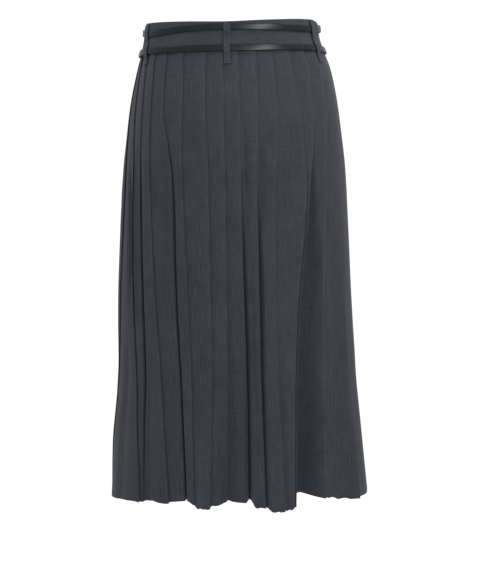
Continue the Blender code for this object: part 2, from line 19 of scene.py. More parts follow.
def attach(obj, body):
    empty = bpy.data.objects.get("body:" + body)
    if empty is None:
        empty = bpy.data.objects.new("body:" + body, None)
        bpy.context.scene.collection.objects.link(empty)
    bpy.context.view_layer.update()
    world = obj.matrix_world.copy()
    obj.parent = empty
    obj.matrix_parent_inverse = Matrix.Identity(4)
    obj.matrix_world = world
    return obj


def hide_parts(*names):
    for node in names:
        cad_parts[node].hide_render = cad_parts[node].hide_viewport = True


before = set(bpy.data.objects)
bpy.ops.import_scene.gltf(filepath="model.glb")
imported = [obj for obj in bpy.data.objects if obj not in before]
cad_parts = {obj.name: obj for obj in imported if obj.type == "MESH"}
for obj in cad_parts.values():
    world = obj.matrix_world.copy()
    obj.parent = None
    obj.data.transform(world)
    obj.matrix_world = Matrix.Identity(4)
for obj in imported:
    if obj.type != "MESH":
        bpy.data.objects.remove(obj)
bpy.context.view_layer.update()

Numbers = Sequence[float]
Triple = tuple[float, float, float]
Colour = Triple
Row = Sequence[Vector]
Mesh = bpy.types.Mesh
Piece = bpy.types.Object
Finish = bpy.types.Material
Socket = bpy.types.NodeSocket

MM = 0.001
ROOT = "root"
LOG = logging.getLogger("pleated_skirt")

WAIST_SEAM = -0.0235  # height of the seam between the waistband and the pleated cloth
SEAM_GAP = 0.3 * MM  # kept between pieces that touch
BELT_WIDTH = 9.7 * MM
BELT_WALL = 2.0 * MM
BELT_GAP = 0.4 * MM  # from one lap of a belt to the next, and from a belt to a loop over it
FULL_TURN = 360.0

# A rounded rectangle's corners: which side each is on, both ways, and where its turn starts, in degrees.
CORNERS = ((1, 1, 0.0), (-1, 1, 90.0), (-1, -1, 180.0), (1, -1, 270.0))


# --- Curves and sections ---
def mix(a: float, b: float, t: float) -> float:
    """Return the value a share t of the way from a to b."""
    return a + (b - a) * t


def share(value: float, low: float, high: float) -> float:
    """Return how far value is from low to high, kept between 0 and 1."""
    return min(max((value - low) / (high - low), 0.0), 1.0)


def eased(t: float) -> float:
    """Return t with a soft start and a soft end."""
    return t * t * (3.0 - 2.0 * t)


class Curve:
    """A smooth curve through a few known values, which never overshoots them."""

    def __init__(self, places: Sequence[float], values: Sequence[float]) -> None:
        """Set the curve up.

        Args:
            places: where the values are known, in any order.
            values: the value at each place.
        """
        pairs = sorted(zip(places, values))
        self.xs = [pair[0] for pair in pairs]
        self.ys = [pair[1] for pair in pairs]
        self.slopes = [
            (self.ys[i + 1] - self.ys[i]) / (self.xs[i + 1] - self.xs[i]) for i in range(len(pairs) - 1)
        ]
        self.tangents = [self.slopes[0]]
        for before, after in zip(self.slopes, self.slopes[1:]):
            level = before * after <= 0.0
            self.tangents.append(0.0 if level else 2.0 * before * after / (before + after))
        self.tangents.append(self.slopes[-1])

    def at(self, place: float) -> float:
        """Return the curve's value at a place."""
        place = min(max(place, self.xs[0]), self.xs[-1])
        i = min(max(bisect.bisect_left(self.xs, place) - 1, 0), len(self.slopes) - 1)
        step = self.xs[i + 1] - self.xs[i]
        t = (place - self.xs[i]) / step
        rise = eased(t)
        bend = t * (1.0 - t) ** 2 * self.tangents[i] - t * t * (1.0 - t) * self.tangents[i + 1]
        return mix(self.ys[i], self.ys[i + 1], rise) + step * bend


@dataclass(frozen=True)
class Section:
    """The skirt's outline at one height, by its reach from the axis to each side."""

    z: float
    left: float
    right: float
    back: float
    front: float
    square: float

    def point(self, angle: float) -> Vector:
        """Return the outline's point at an angle in degrees, level with this section."""
        sine = math.sin(math.radians(angle))
        cosine = math.cos(math.radians(angle))
        across = self.right if sine > 0.0 else self.left
        along = self.back if cosine > 0.0 else self.front
        power = self.square
        radius = (abs(sine / across) ** power + abs(cosine / along) ** power) ** (-1.0 / power)
        return Vector((-radius * sine, radius * cosine, self.z))

    def place(self, angle: float, along: float = 0.0, outward: float = 0.0, z: float | None = None) -> Vector:
        """Return a point near the outline.

        Args:
            angle: where to start, in degrees.
            along: how far to go round from there, in metres.
            outward: how far to go straight out of the outline.
            z: the height, where it isn't the section's own.

        Returns:
            The point.
        """
        nudge = 0.5
        before, after = self.point(angle - nudge), self.point(angle + nudge)
        if along:
            angle += along / (after - before).length * 2.0 * nudge
            before, after = self.point(angle - nudge), self.point(angle + nudge)
        tangent = after - before
        normal = Vector((tangent.y, -tangent.x, 0.0)).normalized()
        point = self.point(angle)
        if normal.dot(point) < 0.0:
            normal.negate()
        point += normal * outward
        if z is not None:
            point.z = z
        return point

    def girth(self, start: float, end: float) -> float:
        """Return the length round the outline from one angle to a greater one."""
        steps = max(2, round((end - start) / 3.0))
        points = [self.point(mix(start, end, i / steps)) for i in range(steps + 1)]
        return sum((b - a).length for a, b in zip(points, points[1:]))


SECTIONS = (
    #       z        left    right   back    front   square
    Section(0.0240, 0.1322, 0.1328, 0.0935, 0.0935, 2.35),
    Section(0.0000, 0.1345, 0.1352, 0.0960, 0.0955, 2.35),
    Section(-0.0235, 0.1395, 0.1425, 0.1000, 0.0985, 2.30),
    Section(-0.0500, 0.1470, 0.1522, 0.1070, 0.1030, 2.20),
    Section(-0.1000, 0.1583, 0.1618, 0.1200, 0.1090, 2.10),
    Section(-0.1500, 0.1656, 0.1676, 0.1280, 0.1120, 2.05),
    Section(-0.2000, 0.1724, 0.1724, 0.1310, 0.1140, 2.00),
    Section(-0.3000, 0.1795, 0.1763, 0.1310, 0.1180, 2.00),
    Section(-0.4000, 0.1845, 0.1794, 0.1300, 0.1220, 2.00),
    Section(-0.5000, 0.1864, 0.1842, 0.1300, 0.1260, 2.00),
    Section(-0.6000, 0.1950, 0.1926, 0.1340, 0.1310, 2.00),
    Section(-0.7035, 0.2015, 0.2018, 0.1390, 0.1360, 2.00),
)


class Outline:
    """The skirt's outline from the waist to the hem."""

    def __init__(self) -> None:
        """Set up one curve for each column of the table."""
        heights = [row.z for row in SECTIONS]
        names = ("left", "right", "back", "front", "square")
        self.columns = [Curve(heights, [getattr(row, name) for row in SECTIONS]) for name in names]
        self.known: dict[float, Section] = {}

    def at(self, z: float) -> Section:
        """Return the section at a height."""
        z = round(z, 6)
        if z not in self.known:
            self.known[z] = Section(z, *(column.at(z) for column in self.columns))
        return self.known[z]


OUTLINE = Outline()


# --- Meshes ---
def add_piece(name: str, mesh: Mesh, *materials: Finish) -> Piece:
    """Link a new object that holds a mesh, and give it its materials."""
    piece = bpy.data.objects.new(name, mesh)
    for material in materials:
        mesh.materials.append(material)
    bpy.context.scene.collection.objects.link(piece)
    return piece


def settle(piece: Piece) -> Piece:
    """Turn a mesh object and its modifiers into one plain mesh.

    Args:
        piece: the object with its live modifiers.

    Returns:
        The same object, without modifiers now.
    """
    bpy.context.view_layer.update()
    graph = bpy.context.evaluated_depsgraph_get()
    live = piece.evaluated_get(graph)
    mesh = bpy.data.meshes.new_from_object(live, preserve_all_data_layers=True, depsgraph=graph)
    mesh.name = piece.name
    for i in reversed(range(len(mesh.materials))):
        if mesh.materials[i] is None:
            mesh.materials.pop(index=i)
    piece.modifiers.clear()
    piece.data = mesh
    return piece


def joined(name: str, pieces: Sequence[Piece]) -> Piece:
    """Put the meshes of several objects into the first of them, under a new name."""
    main = pieces[0]
    mesh = bmesh.new()
    slots = {material.name: i for i, material in enumerate(main.data.materials)}
    for piece in pieces:
        start = len(mesh.faces)
        mesh.from_mesh(piece.data)
        mesh.faces.ensure_lookup_table()
        remap = []
        for material in piece.data.materials:
            if material.name not in slots:
                slots[material.name] = len(slots)
                main.data.materials.append(material)
            remap.append(slots[material.name])
        for face in mesh.faces[start:]:
            face.material_index = remap[face.material_index] if remap else 0
    mesh.to_mesh(main.data)
    mesh.free()
    for piece in pieces[1:]:
        bpy.data.objects.remove(piece, do_unlink=True)
    main.name = main.data.name = name
    return main


def smooth_shade(piece: Piece, sharp_degrees: float = 40.0) -> None:
    """Shade a piece smooth, with its corners above an angle left sharp."""
    piece.data.shade_smooth()
    piece.data.set_sharp_from_angle(angle=math.radians(sharp_degrees))


def strip_profile(width: float, wall: float, bevel: float, crown: float = 0.0) -> list[tuple[float, float]]:
    """Work out the section of a flat strip with rounded corners.

    Args:
        width: the strip's width.
        wall: its thickness in the middle.
        bevel: the radius of its corners.
        crown: how much thinner its face is at the corners than in the middle.

    Returns:
        The section's points once round, as (across, outward) from its middle.
    """
    half, rise = width / 2.0, wall / 2.0
    points = []
    for side_across, side_out, first in CORNERS:
        sunk = crown if side_out > 0 else 0.0
        for i in range(4):
            turn = math.radians(first + 30.0 * i)
            across = side_across * (half - bevel) + bevel * math.cos(turn)
            points.append((across, side_out * (rise - sunk - bevel) + bevel * math.sin(turn)))
        if side_across == side_out:
            for i in range(1, 8):
                t = i / 8.0
                across = mix(half - bevel, bevel - half, t) * side_out
                bend = sunk * (1.0 - (2.0 * t - 1.0) ** 2)
                points.append((across, side_out * rise - sunk + bend))
    return points


def tube(name: str, rings: Sequence[Row], finish: Finish, closed: bool = False) -> Piece:
    """Make a closed skin through rings of equal length, with flat ends.

    Args:
        name: the object's name.
        rings: the rings, in order.
        finish: the material.
        closed: whether the last ring joins the first, so that there are no ends.

    Returns:
        The object.
    """
    mesh = bmesh.new()
    layers = [[mesh.verts.new(point) for point in ring] for ring in rings]
    onward = layers[1:] + layers[:1] if closed else layers[1:]
    for here, there in zip(layers, onward):
        for i in range(len(here)):
            j = (i + 1) % len(here)
            mesh.faces.new((here[i], here[j], there[j], there[i]))
    if not closed:
        mesh.faces.new(layers[0])
        mesh.faces.new(layers[-1])
    bmesh.ops.recalc_face_normals(mesh, faces=mesh.faces)
    data = bpy.data.meshes.new(name)
    mesh.to_mesh(data)
    mesh.free()
    made = add_piece(name, data, finish)
    smooth_shade(made)
    return made


def lay_flat(mesh: Mesh, along: Numbers, across: Numbers, crosswise: bool, offset: float = 0.0) -> None:
    """Write the Cloth UV map of a tube, in metres.

    Args:
        mesh: the tube's mesh.
        along: how far along the tube each ring lies.
        across: where each point of a ring lies across the cloth.
        crosswise: whether the tube's length lies across the grain, and not down it.
        offset: added both ways, so that pieces don't share one stretch of cloth.
    """
    uvs = mesh.uv_layers.new(name="Cloth")
    values = []
    for loop in mesh.loops:
        ring, point = divmod(loop.vertex_index, len(across))
        place = (along[ring] + offset, across[point] + offset)
        values += place if crosswise else reversed(place)
    uvs.data.foreach_set("uv", values)


def mark(mesh: Mesh, name: str, values: Numbers) -> None:
    """Give a mesh a named value at each point."""
    attribute = mesh.attributes.new(name, "FLOAT", "POINT")
    attribute.data.foreach_set("value", values)


def line_object(name: str, points: Row, closed: bool = False, **vectors: Row) -> Piece:
    """Make an object that holds only a line, with named directions at its points."""
    mesh = bpy.data.meshes.new(name)
    steps = [(i, i + 1) for i in range(len(points) - 1)]
    if closed:
        steps.append((len(points) - 1, 0))
    mesh.from_pydata([tuple(point) for point in points], steps, [])
    for label, values in vectors.items():
        attribute = mesh.attributes.new(label, "FLOAT_VECTOR", "POINT")
        attribute.data.foreach_set("vector", [number for value in values for number in value])
    return add_piece(name, mesh)


# --- Node trees ---
class NodeBoard:
    """Adds nodes to one tree and links them."""

    def __init__(self, tree: bpy.types.NodeTree) -> None:
        """Start on an existing tree."""
        self.tree = tree

    def plug(self, node: bpy.types.Node, inputs: dict) -> None:
        """Fill a node's sockets, by name or number, each from another node's output or with a value."""
        for key, value in inputs.items():
            if isinstance(value, Socket):
                self.tree.links.new(value, node.inputs[key])
            else:
                node.inputs[key].default_value = value

    def add(self, kind: str, inputs: dict | None = None, **settings: object) -> bpy.types.Node:
        """Add a node.

        Args:
            kind: the node's type name.
            inputs: by socket name or number, another node's output to link, or a value.
            settings: the node's own settings.

        Returns:
            The node.
        """
        node = self.tree.nodes.new(kind)
        for name, value in settings.items():
            setattr(node, name, value)
        self.plug(node, inputs or {})
        return node

    def math(self, operation: str, *values: object) -> Socket:
        """Add a Math node and return its output."""
        return self.add("ShaderNodeMath", dict(enumerate(values)), operation=operation).outputs[0]

    def total(self, first: object, *others: object) -> Socket:
        """Add values up, in order, and return the sum."""
        for other in others:
            first = self.math("ADD", first, other)
        return first

    def weighted(self, *parts: tuple[object, float]) -> Socket:
        """Add values up, each times its own weight, and return the sum."""
        return self.total(*(self.math("MULTIPLY", value, weight) for value, weight in parts))

    def blend(self, factor: object, first: object, second: object) -> Socket:
        """Add a colour Mix node and return its output."""
        inputs = {"Factor": factor, 6: first, 7: second}
        return self.add("ShaderNodeMix", inputs, data_type="RGBA").outputs[2]

    def noise(self, vector: object, scale: Triple, detail: float = 2.0) -> Socket:
        """Add a noise of its own scale along each axis, and return its value from 0 to 1."""
        mapped = self.add("ShaderNodeMapping", {"Vector": vector, "Scale": scale})
        inputs = {"Vector": mapped.outputs[0], "Scale": 1.0, "Detail": detail}
        return self.add("ShaderNodeTexNoise", inputs, noise_dimensions="3D").outputs[0]

    def ramp(
        self, value: object, low: float, high: float, to_low: float = 0.0, to_high: float = 1.0
    ) -> Socket:
        """Map a range of values to another range, and return the result."""
        inputs = {0: value, 1: low, 2: high, 3: to_low, 4: to_high}
        return self.add("ShaderNodeMapRange", inputs).outputs[0]

    def bump(self, height: object, strength: float, distance: float) -> Socket:
        """Add a Bump node and return its normal."""
        inputs = {"Strength": strength, "Distance": distance, "Height": height}
        return self.add("ShaderNodeBump", inputs).outputs[0]

    def place(self) -> Socket:
        """Return the place in the object's own coordinates."""
        return self.add("ShaderNodeTexCoord").outputs["Object"]

    def point_value(self, name: str) -> Socket:
        """Read a value that a mesh gives at each of its points."""
        return self.add("ShaderNodeAttribute", attribute_name=name).outputs["Fac"]


# --- Finishes ---
def rgba(colour: Colour, gain: float = 1.0) -> tuple[float, ...]:
    """Return a colour made lighter or darker by a gain, with full cover."""
    return (*(part * gain for part in colour), 1.0)


def new_material(name: str) -> tuple[Finish, NodeBoard, bpy.types.Node]:
    """Make a material and return it with a board for its nodes and its main shader."""
    material = bpy.data.materials.new(name)
    material.use_nodes = True
    return material, NodeBoard(material.node_tree), material.node_tree.nodes["Principled BSDF"]


@dataclass(frozen=True)
class WorstedWool:
    """Fine charcoal worsted: a tight twill of mixed yarns, matt with a faint bloom."""

    name: str = "Charcoal worsted"
    dark: Colour = (0.0184, 0.0205, 0.0261)
    light: Colour = (0.0512, 0.0541, 0.0662)
    yarn: float = 0.42 * MM  # from one yarn to the next
    contrast: tuple[float, float] = (0.39, 0.61)  # which values of the mixed yarns are dark and light
    weave_tone: float = 0.12  # how much lighter the ribs of the weave are
    cloud_tone: float = 0.10  # how much wide patches of the cloth differ
    pressed_tone: float = 0.07  # painted highlight: how much lighter a pressed fold edge is painted, for the light that it catches
    pressed_polish: float = 0.06  # how much smoother it is
    roughness: float = 0.86
    sheen: float = 0.14

    def weave(self, board: NodeBoard, cloth: Socket) -> Socket:
        """Lay the slanted ribs of the twill over the upright ones of the warp."""
        parts = board.add("ShaderNodeSeparateXYZ", {0: cloth})
        turns = 2.0 * math.pi / self.yarn
        across = board.math("MULTIPLY", parts.outputs[0], turns)
        down = board.math("MULTIPLY", parts.outputs[1], turns)
        twill = board.math("SINE", board.math("MULTIPLY", board.math("ADD", across, down), 0.5))
        return board.weighted((twill, 0.6), (board.math("SINE", across), 0.4))

    def make(self) -> Finish:
        """Build the material. It reads the Cloth UV map, in metres, and the pressed value, which paints the
        fold edges lighter as a painted highlight and makes them smoother.
        """
        material, board, shader = new_material(self.name)
        cloth = board.add("ShaderNodeUVMap", uv_map="Cloth").outputs[0]
        pressed = board.point_value("pressed")
        weave = self.weave(board, cloth)
        per_metre = 1.0 / self.yarn
        ends = board.noise(cloth, (per_metre * 0.7, 30.0, 1.0))
        picks = board.noise(cloth, (55.0, per_metre * 0.7, 1.0))
        fibres = board.noise(cloth, (per_metre * 0.9, per_metre * 0.9, 1.0))
        clouds = board.noise(cloth, (19.0, 11.0, 1.0), 3.0)
        yarns = board.weighted((ends, 0.40), (picks, 0.28), (fibres, 0.32))
        tone = board.total(
            board.ramp(yarns, *self.contrast),
            board.math("MULTIPLY", weave, self.weave_tone),
            board.ramp(clouds, 0.3, 0.7, -self.cloud_tone, self.cloud_tone),
            # The pressed fold edges are painted lighter: a painted highlight for the light that they catch.
            board.math("MULTIPLY", pressed, self.pressed_tone),
        )
        smooth = self.roughness - self.pressed_polish
        height = board.weighted((weave, 0.5), (fibres, 0.8))
        board.plug(
            shader,
            {
                "Base Color": board.blend(board.ramp(tone, 0.0, 1.0), rgba(self.dark), rgba(self.light)),
                "Roughness": board.ramp(pressed, 0.0, 1.0, self.roughness, smooth),
                "Normal": board.bump(height, 0.35, 0.12 * MM),
                "Specular IOR Level": 0.28,
                "Sheen Weight": self.sheen,
                "Sheen Roughness": 0.45,
                "Sheen Tint": (0.80, 0.86, 1.0, 1.0),
            },
        )
        return material


@dataclass(frozen=True)
class SatinLeather:
    """Smooth black leather with a fine grain, softly shiny, with painted edges."""

    name: str = "Black leather"
    face: Colour = (0.0032, 0.0042, 0.0068)
    edge: Colour = (0.005, 0.005, 0.006)
    rubbed_gain: float = 1.5  # how many times lighter a rubbed place is
    roughness: float = 0.30
    grain_scale: float = 1500.0  # grains in a metre
    pore_scale: float = 2600.0

    def make(self) -> Finish:
        """Build the material. It reads Object coordinates and the edge value."""
        material, board, shader = new_material(self.name)
        place = board.place()
        cells = {"Vector": place, "Scale": self.grain_scale, "Randomness": 1.0}
        grain = board.add("ShaderNodeTexVoronoi", cells, feature="SMOOTH_F1").outputs[0]
        pores = board.noise(place, (self.pore_scale,) * 3)
        rubbed = board.noise(place, (60.0, 60.0, 140.0), 4.0)
        worn = rgba(self.face, self.rubbed_gain)
        tone = board.blend(board.ramp(rubbed, 0.35, 0.7), rgba(self.face), worn)
        painted = board.ramp(board.point_value("edge"), 0.2, 0.8)
        board.plug(
            shader,
            {
                "Base Color": board.blend(painted, tone, rgba(self.edge)),
                "Roughness": board.ramp(rubbed, 0.3, 0.7, self.roughness - 0.02, self.roughness + 0.03),
                "Normal": board.bump(board.weighted((grain, 0.7), (pores, 0.3)), 0.16, 0.08 * MM),
                "Specular IOR Level": 0.33,
                "Specular Tint": (0.93, 0.96, 1.0, 1.0),
            },
        )
        return material


@dataclass(frozen=True)
class PolishedSteel:
    """Polished steel wire with hair-fine scratches and a slightly duller tone in places."""

    name: str = "Polished steel"
    colour: Colour = (0.60, 0.59, 0.57)
    dull_gain: float = 0.72  # how much of the colour a dull place keeps
    roughness: float = 0.20
    dull_rough: float = 0.12  # how much rougher a dull place is
    scratch_rough: float = 0.1  # how much rougher a scratch is

    def make(self) -> Finish:
        """Build the material. It reads Object coordinates."""
        material, board, shader = new_material(self.name)
        place = board.place()
        scratches = board.noise(place, (900.0, 900.0, 9000.0), 3.0)
        dull = board.noise(place, (220.0, 220.0, 220.0), 3.0)
        tarnish = rgba(self.colour, self.dull_gain)
        rough = board.total(
            board.ramp(dull, 0.3, 0.7, 0.0, self.dull_rough),
            board.ramp(scratches, 0.3, 0.7, self.roughness, self.roughness + self.scratch_rough),
        )
        board.plug(
            shader,
            {
                "Base Color": board.blend(board.ramp(dull, 0.35, 0.7), rgba(self.colour), tarnish),
                "Roughness": rough,
                "Normal": board.bump(scratches, 0.08, 0.02 * MM),
                "Metallic": 1.0,
            },
        )
        return material


@dataclass(frozen=True)
class SewingThread:
    """Dark grey sewing thread with a slight twist, painted lighter on the top of each ply as a painted
    highlight.
    """

    name: str = "Charcoal thread"
    colour: Colour = (0.040, 0.043, 0.052)
    ply_gain: float = 1.7  # painted highlight: how many times lighter the top of each ply is painted
    roughness: float = 0.55

    def make(self) -> Finish:
        """Build the material. It reads Object coordinates."""
        material, board, shader = new_material(self.name)
        place = board.place()
        twist = board.noise(place, (5200.0, 5200.0, 2600.0))
        # The top of each ply is painted lighter: a painted highlight.
        ply = rgba(self.colour, self.ply_gain)
        board.plug(
            shader,
            {
                "Base Color": board.blend(board.ramp(twist, 0.3, 0.7), rgba(self.colour), ply),
                "Normal": board.bump(twist, 0.3, 0.05 * MM),
                "Roughness": self.roughness,
            },
        )
        return material


@dataclass(frozen=True)
class PaleFloor:
    """A plain pale floor that fades into the white round it."""

    name: str = "Pale floor"
    colour: Colour = (0.86, 0.86, 0.87)
    speck_gain: float = 1.04  # how many times lighter its specks are
    roughness: float = 0.8
    clear_from: float = 0.45  # how far from its middle it starts to fade
    gone_at: float = 0.80  # and where it is gone

    def make(self) -> Finish:
        """Build the material. It reads Object coordinates."""
        material, board, shader = new_material(self.name)
        place = board.place()
        reach = board.add("ShaderNodeVectorMath", {0: place}, operation="LENGTH").outputs["Value"]
        speck = board.noise(place, (40.0, 40.0, 40.0), 3.0)
        speckled = board.blend(
            board.ramp(speck, 0.3, 0.7), rgba(self.colour), rgba(self.colour, self.speck_gain)
        )
        board.plug(shader, {"Base Color": speckled, "Roughness": self.roughness})
        clear = board.add("ShaderNodeBsdfTransparent")
        fade = board.ramp(reach, self.clear_from, self.gone_at)
        mixed = board.add("ShaderNodeMixShader", {0: fade, 1: shader.outputs[0], 2: clear.outputs[0]})
        board.plug(board.tree.nodes["Material Output"], {0: mixed.outputs[0]})
        return material


# --- Repeats, as node trees ---
class Repeat:
    """A geometry node tree with named inputs for its sizes, and the modifier that runs it."""

    name = "Repeat"
    inputs: tuple[tuple[str, str], ...] = ()

    def __init__(self) -> None:
        """Build the tree once."""
        self.tree = bpy.data.node_groups.new(self.name, "GeometryNodeTree")
        self.tree.is_modifier = True
        self.tree.interface.new_socket("Geometry", in_out="INPUT", socket_type="NodeSocketGeometry")
        for label, kind in self.inputs:
            self.tree.interface.new_socket(label, in_out="INPUT", socket_type=kind)
        self.tree.interface.new_socket("Geometry", in_out="OUTPUT", socket_type="NodeSocketGeometry")
        self.board = NodeBoard(self.tree)
        self.given = self.board.add("NodeGroupInput").outputs
        result = self.wire_up()
        self.board.add("NodeGroupOutput", {0: result})

    def wire_up(self) -> Socket:
        """Add the nodes between the tree's inputs and its output."""
        raise NotImplementedError

    def named(self, name: str, kind: str = "FLOAT_VECTOR") -> Socket:
        """Read a named value of the points that the tree works on."""
        return self.board.add("GeometryNodeInputNamedAttribute", {"Name": name}, data_type=kind).outputs[0]

    def scattered(
        self, points: Socket, piece: Socket, facing: Socket, along: Socket, size: Socket
    ) -> Socket:
        """Put a real copy of a piece at each point.

        Args:
            points: where the copies go.
            piece: what is copied.
            facing: where each copy's own Z points.
            along: where its X points, as nearly as it can.
            size: its size along its own axes.

        Returns:
            The copies' geometry.
        """
        align = "FunctionNodeAlignRotationToVector"
        up = self.board.add(align, {"Vector": facing}, axis="Z").outputs[0]
        turned = self.board.add(align, {"Rotation": up, "Vector": along}, axis="X", pivot_axis="Z").outputs[0]
        inputs = {"Points": points, "Instance": piece, "Rotation": turned, "Scale": size}
        placed = self.board.add("GeometryNodeInstanceOnPoints", inputs).outputs[0]
        return self.board.add("GeometryNodeRealizeInstances", {0: placed}).outputs[0]

    def finished(self, shape: Socket, material: str) -> Socket:
        """Give the geometry the material that one of the tree's inputs names."""
        inputs = {"Geometry": shape, "Material": self.given[material]}
        return self.board.add("GeometryNodeSetMaterial", inputs).outputs[0]

    def run(self, piece: Piece, **values: object) -> Piece:
        """Run the tree on a piece and keep the result.

        Args:
            piece: the object that it starts from.
            values: the inputs by their names, with _ for a space.

        Returns:
            The object, as a plain mesh.
        """
        modifier = piece.modifiers.new(self.name, "NODES")
        modifier.node_group = self.tree
        inputs = [item for item in self.tree.interface.items_tree if item.in_out == "INPUT"]
        sockets = {item.name: item.identifier for item in inputs}
        for label, value in values.items():
            modifier[sockets[label.replace("_", " ")]] = value
        return settle(piece)


class StitchRun(Repeat):
    """Short oval stitches spaced evenly along a line, each lying on the cloth under it."""

    name = "Stitch run"
    inputs = (
        ("Pitch", "NodeSocketFloat"),
        ("Stitch size", "NodeSocketVector"),
        ("Thread", "NodeSocketMaterial"),
    )

    def wire_up(self) -> Socket:
        """Place a stitch at each step along the line, turned to lie on the cloth."""
        board, given = self.board, self.given
        line = board.add("GeometryNodeMeshToCurve", {"Mesh": given["Geometry"]}).outputs[0]
        steps = {"Curve": line, "Length": given["Pitch"]}
        spaced = board.add("GeometryNodeResampleCurve", steps, mode="LENGTH").outputs[0]
        tangent = board.add("GeometryNodeInputTangent").outputs[0]
        oval = board.add("GeometryNodeMeshIcoSphere", {"Radius": 0.5, "Subdivisions": 2}).outputs[0]
        real = self.scattered(spaced, oval, self.named("facing"), tangent, given["Stitch size"])
        soft = board.add("GeometryNodeSetShadeSmooth", {0: real}).outputs[0]
        return self.finished(soft, "Thread")


class RoundWire(Repeat):
    """A round wire along a line, as thick at each point as the line's own thick value says."""

    name = "Round wire"
    inputs = (("Radius", "NodeSocketFloat"), ("Metal", "NodeSocketMaterial"))

    def wire_up(self) -> Socket:
        """Sweep a circle along the line and close its ends."""
        board, given = self.board, self.given
        line = board.add("GeometryNodeMeshToCurve", {"Mesh": given["Geometry"]}).outputs[0]
        ring = {"Resolution": 16, "Radius": given["Radius"]}
        circle = board.add("GeometryNodeCurvePrimitiveCircle", ring).outputs[0]
        thick = self.named("thick", "FLOAT")
        sweep = {"Curve": line, "Profile Curve": circle, "Scale": thick, "Fill Caps": True}
        swept = board.add("GeometryNodeCurveToMesh", sweep).outputs[0]
        soft = board.add("GeometryNodeSetShadeSmooth", {0: swept}).outputs[0]
        real = board.add("GeometryNodeRealizeInstances", {0: soft}).outputs[0]
        return self.finished(real, "Metal")


class PunchedHoles(Repeat):
    """Holes cut through a strap at each of a second object's points, along its axis values."""

    name = "Punched holes"
    inputs = (
        ("Marks", "NodeSocketObject"),
        ("Depth", "NodeSocketFloat"),
        ("Leather", "NodeSocketMaterial"),
    )

    def wire_up(self) -> Socket:
        """Stand a punch at each mark and take them all out of the strap."""
        board, given = self.board, self.given
        marks = board.add("GeometryNodeObjectInfo", {"Object": given["Marks"]}).outputs["Geometry"]
        bar = {"Vertices": 20, "Radius": 0.5, "Depth": given["Depth"]}
        punch = board.add("GeometryNodeMeshCylinder", bar).outputs[0]
        real = self.scattered(marks, punch, self.named("axis"), self.named("side"), self.named("size"))
        cut = board.add(
            "GeometryNodeMeshBoolean",
            {"Mesh 1": given["Geometry"], "Mesh 2": real},
            operation="DIFFERENCE",
            solver="MANIFOLD",
        ).outputs[0]
        return self.finished(cut, "Leather")


@dataclass
class Workshop:
    """The finishes and the node trees, made once."""

    wool: Finish = field(default_factory=lambda: WorstedWool().make())
    # The waistband and the loops take the same worsted painted a little bluer: a painted cool reflection that
    # the band catches.
    band_wool: Finish = field(
        default_factory=lambda: WorstedWool(
            name="Charcoal worsted, cut across",
            dark=(0.0180, 0.0213, 0.0286),
            light=(0.0516, 0.0570, 0.0726),
        ).make()
    )
    leather: Finish = field(default_factory=lambda: SatinLeather().make())
    steel: Finish = field(default_factory=lambda: PolishedSteel().make())
    thread: Finish = field(default_factory=lambda: SewingThread().make())
    stitches: StitchRun = field(default_factory=StitchRun)
    wire: RoundWire = field(default_factory=RoundWire)
    punch: PunchedHoles = field(default_factory=PunchedHoles)


# --- Pleated skirt ---
class Fold(NamedTuple):
    """One knife pleat, by its fold edge, which points round towards growing angles.

    The first five columns are the edge's angle in degrees at the waist, hip, seat, knee and hem. A
    gap is the open width beside the edge and a dip is how deep it runs in, both in mm at seat, knee
    and hem. Below the seat the edge swings out by out, and its hem is lifted by lift, in mm.
    """

    waist: float
    hip: float
    seat: float
    knee: float
    hem: float
    gap_seat: float
    gap_knee: float
    gap_hem: float
    dip_seat: float
    dip_knee: float
    dip_hem: float
    out: float
    lift: float


CREASE_OVER_HEM = -0.69  # a crease that ends as low as this runs on over the hem at full strength
CREASE_FADE = 0.3  # share of a crease's length that each of its ends fades over


class Crease(NamedTuple):
    """A soft trough or ridge that the cloth has besides its pleats.

    It runs from the angle at its top to the angle at its foot, in degrees, between two heights in
    metres. Its two half widths are before and after that line, going round, and depth is how far it
    sinks in, all in mm. A ridge has a depth below zero.
    """

    top_angle: float
    foot_angle: float
    top: float
    foot: float
    before: float
    after: float
    depth: float

    def at(self, z: float) -> tuple[float, float]:
        """Return its angle at a height, and how strong it is there from 0 to 1."""
        t = share(z, self.top, self.foot)
        runs_over_hem = self.foot <= CREASE_OVER_HEM
        ends = min(t, 1.0 if runs_over_hem else 1.0 - t)
        return mix(self.top_angle, self.foot_angle, t), eased(min(ends / CREASE_FADE, 1.0))


class HemDrop(NamedTuple):
    """A place round the hem, in degrees, where it hangs lower by drop, within half widths, all in mm."""

    angle: float
    before: float
    after: float
    drop: float


class FoldHere(NamedTuple):
    """A fold as it is at one height, in degrees and metres."""

    angle: float
    gap: float
    dip: float
    out: float
    lift: float


class Knot(NamedTuple):
    """A corner of a pleat's section: its point, and how far and in how many steps it is rounded."""

    point: Vector
    radius: float = 0.0
    steps: int = 0


class PanelStart(NamedTuple):
    """Where a panel comes out beside a fold: how far on, deep, swung out and lifted, and its width."""

    along: float
    depth: float
    out: float
    lift: float
    width: float


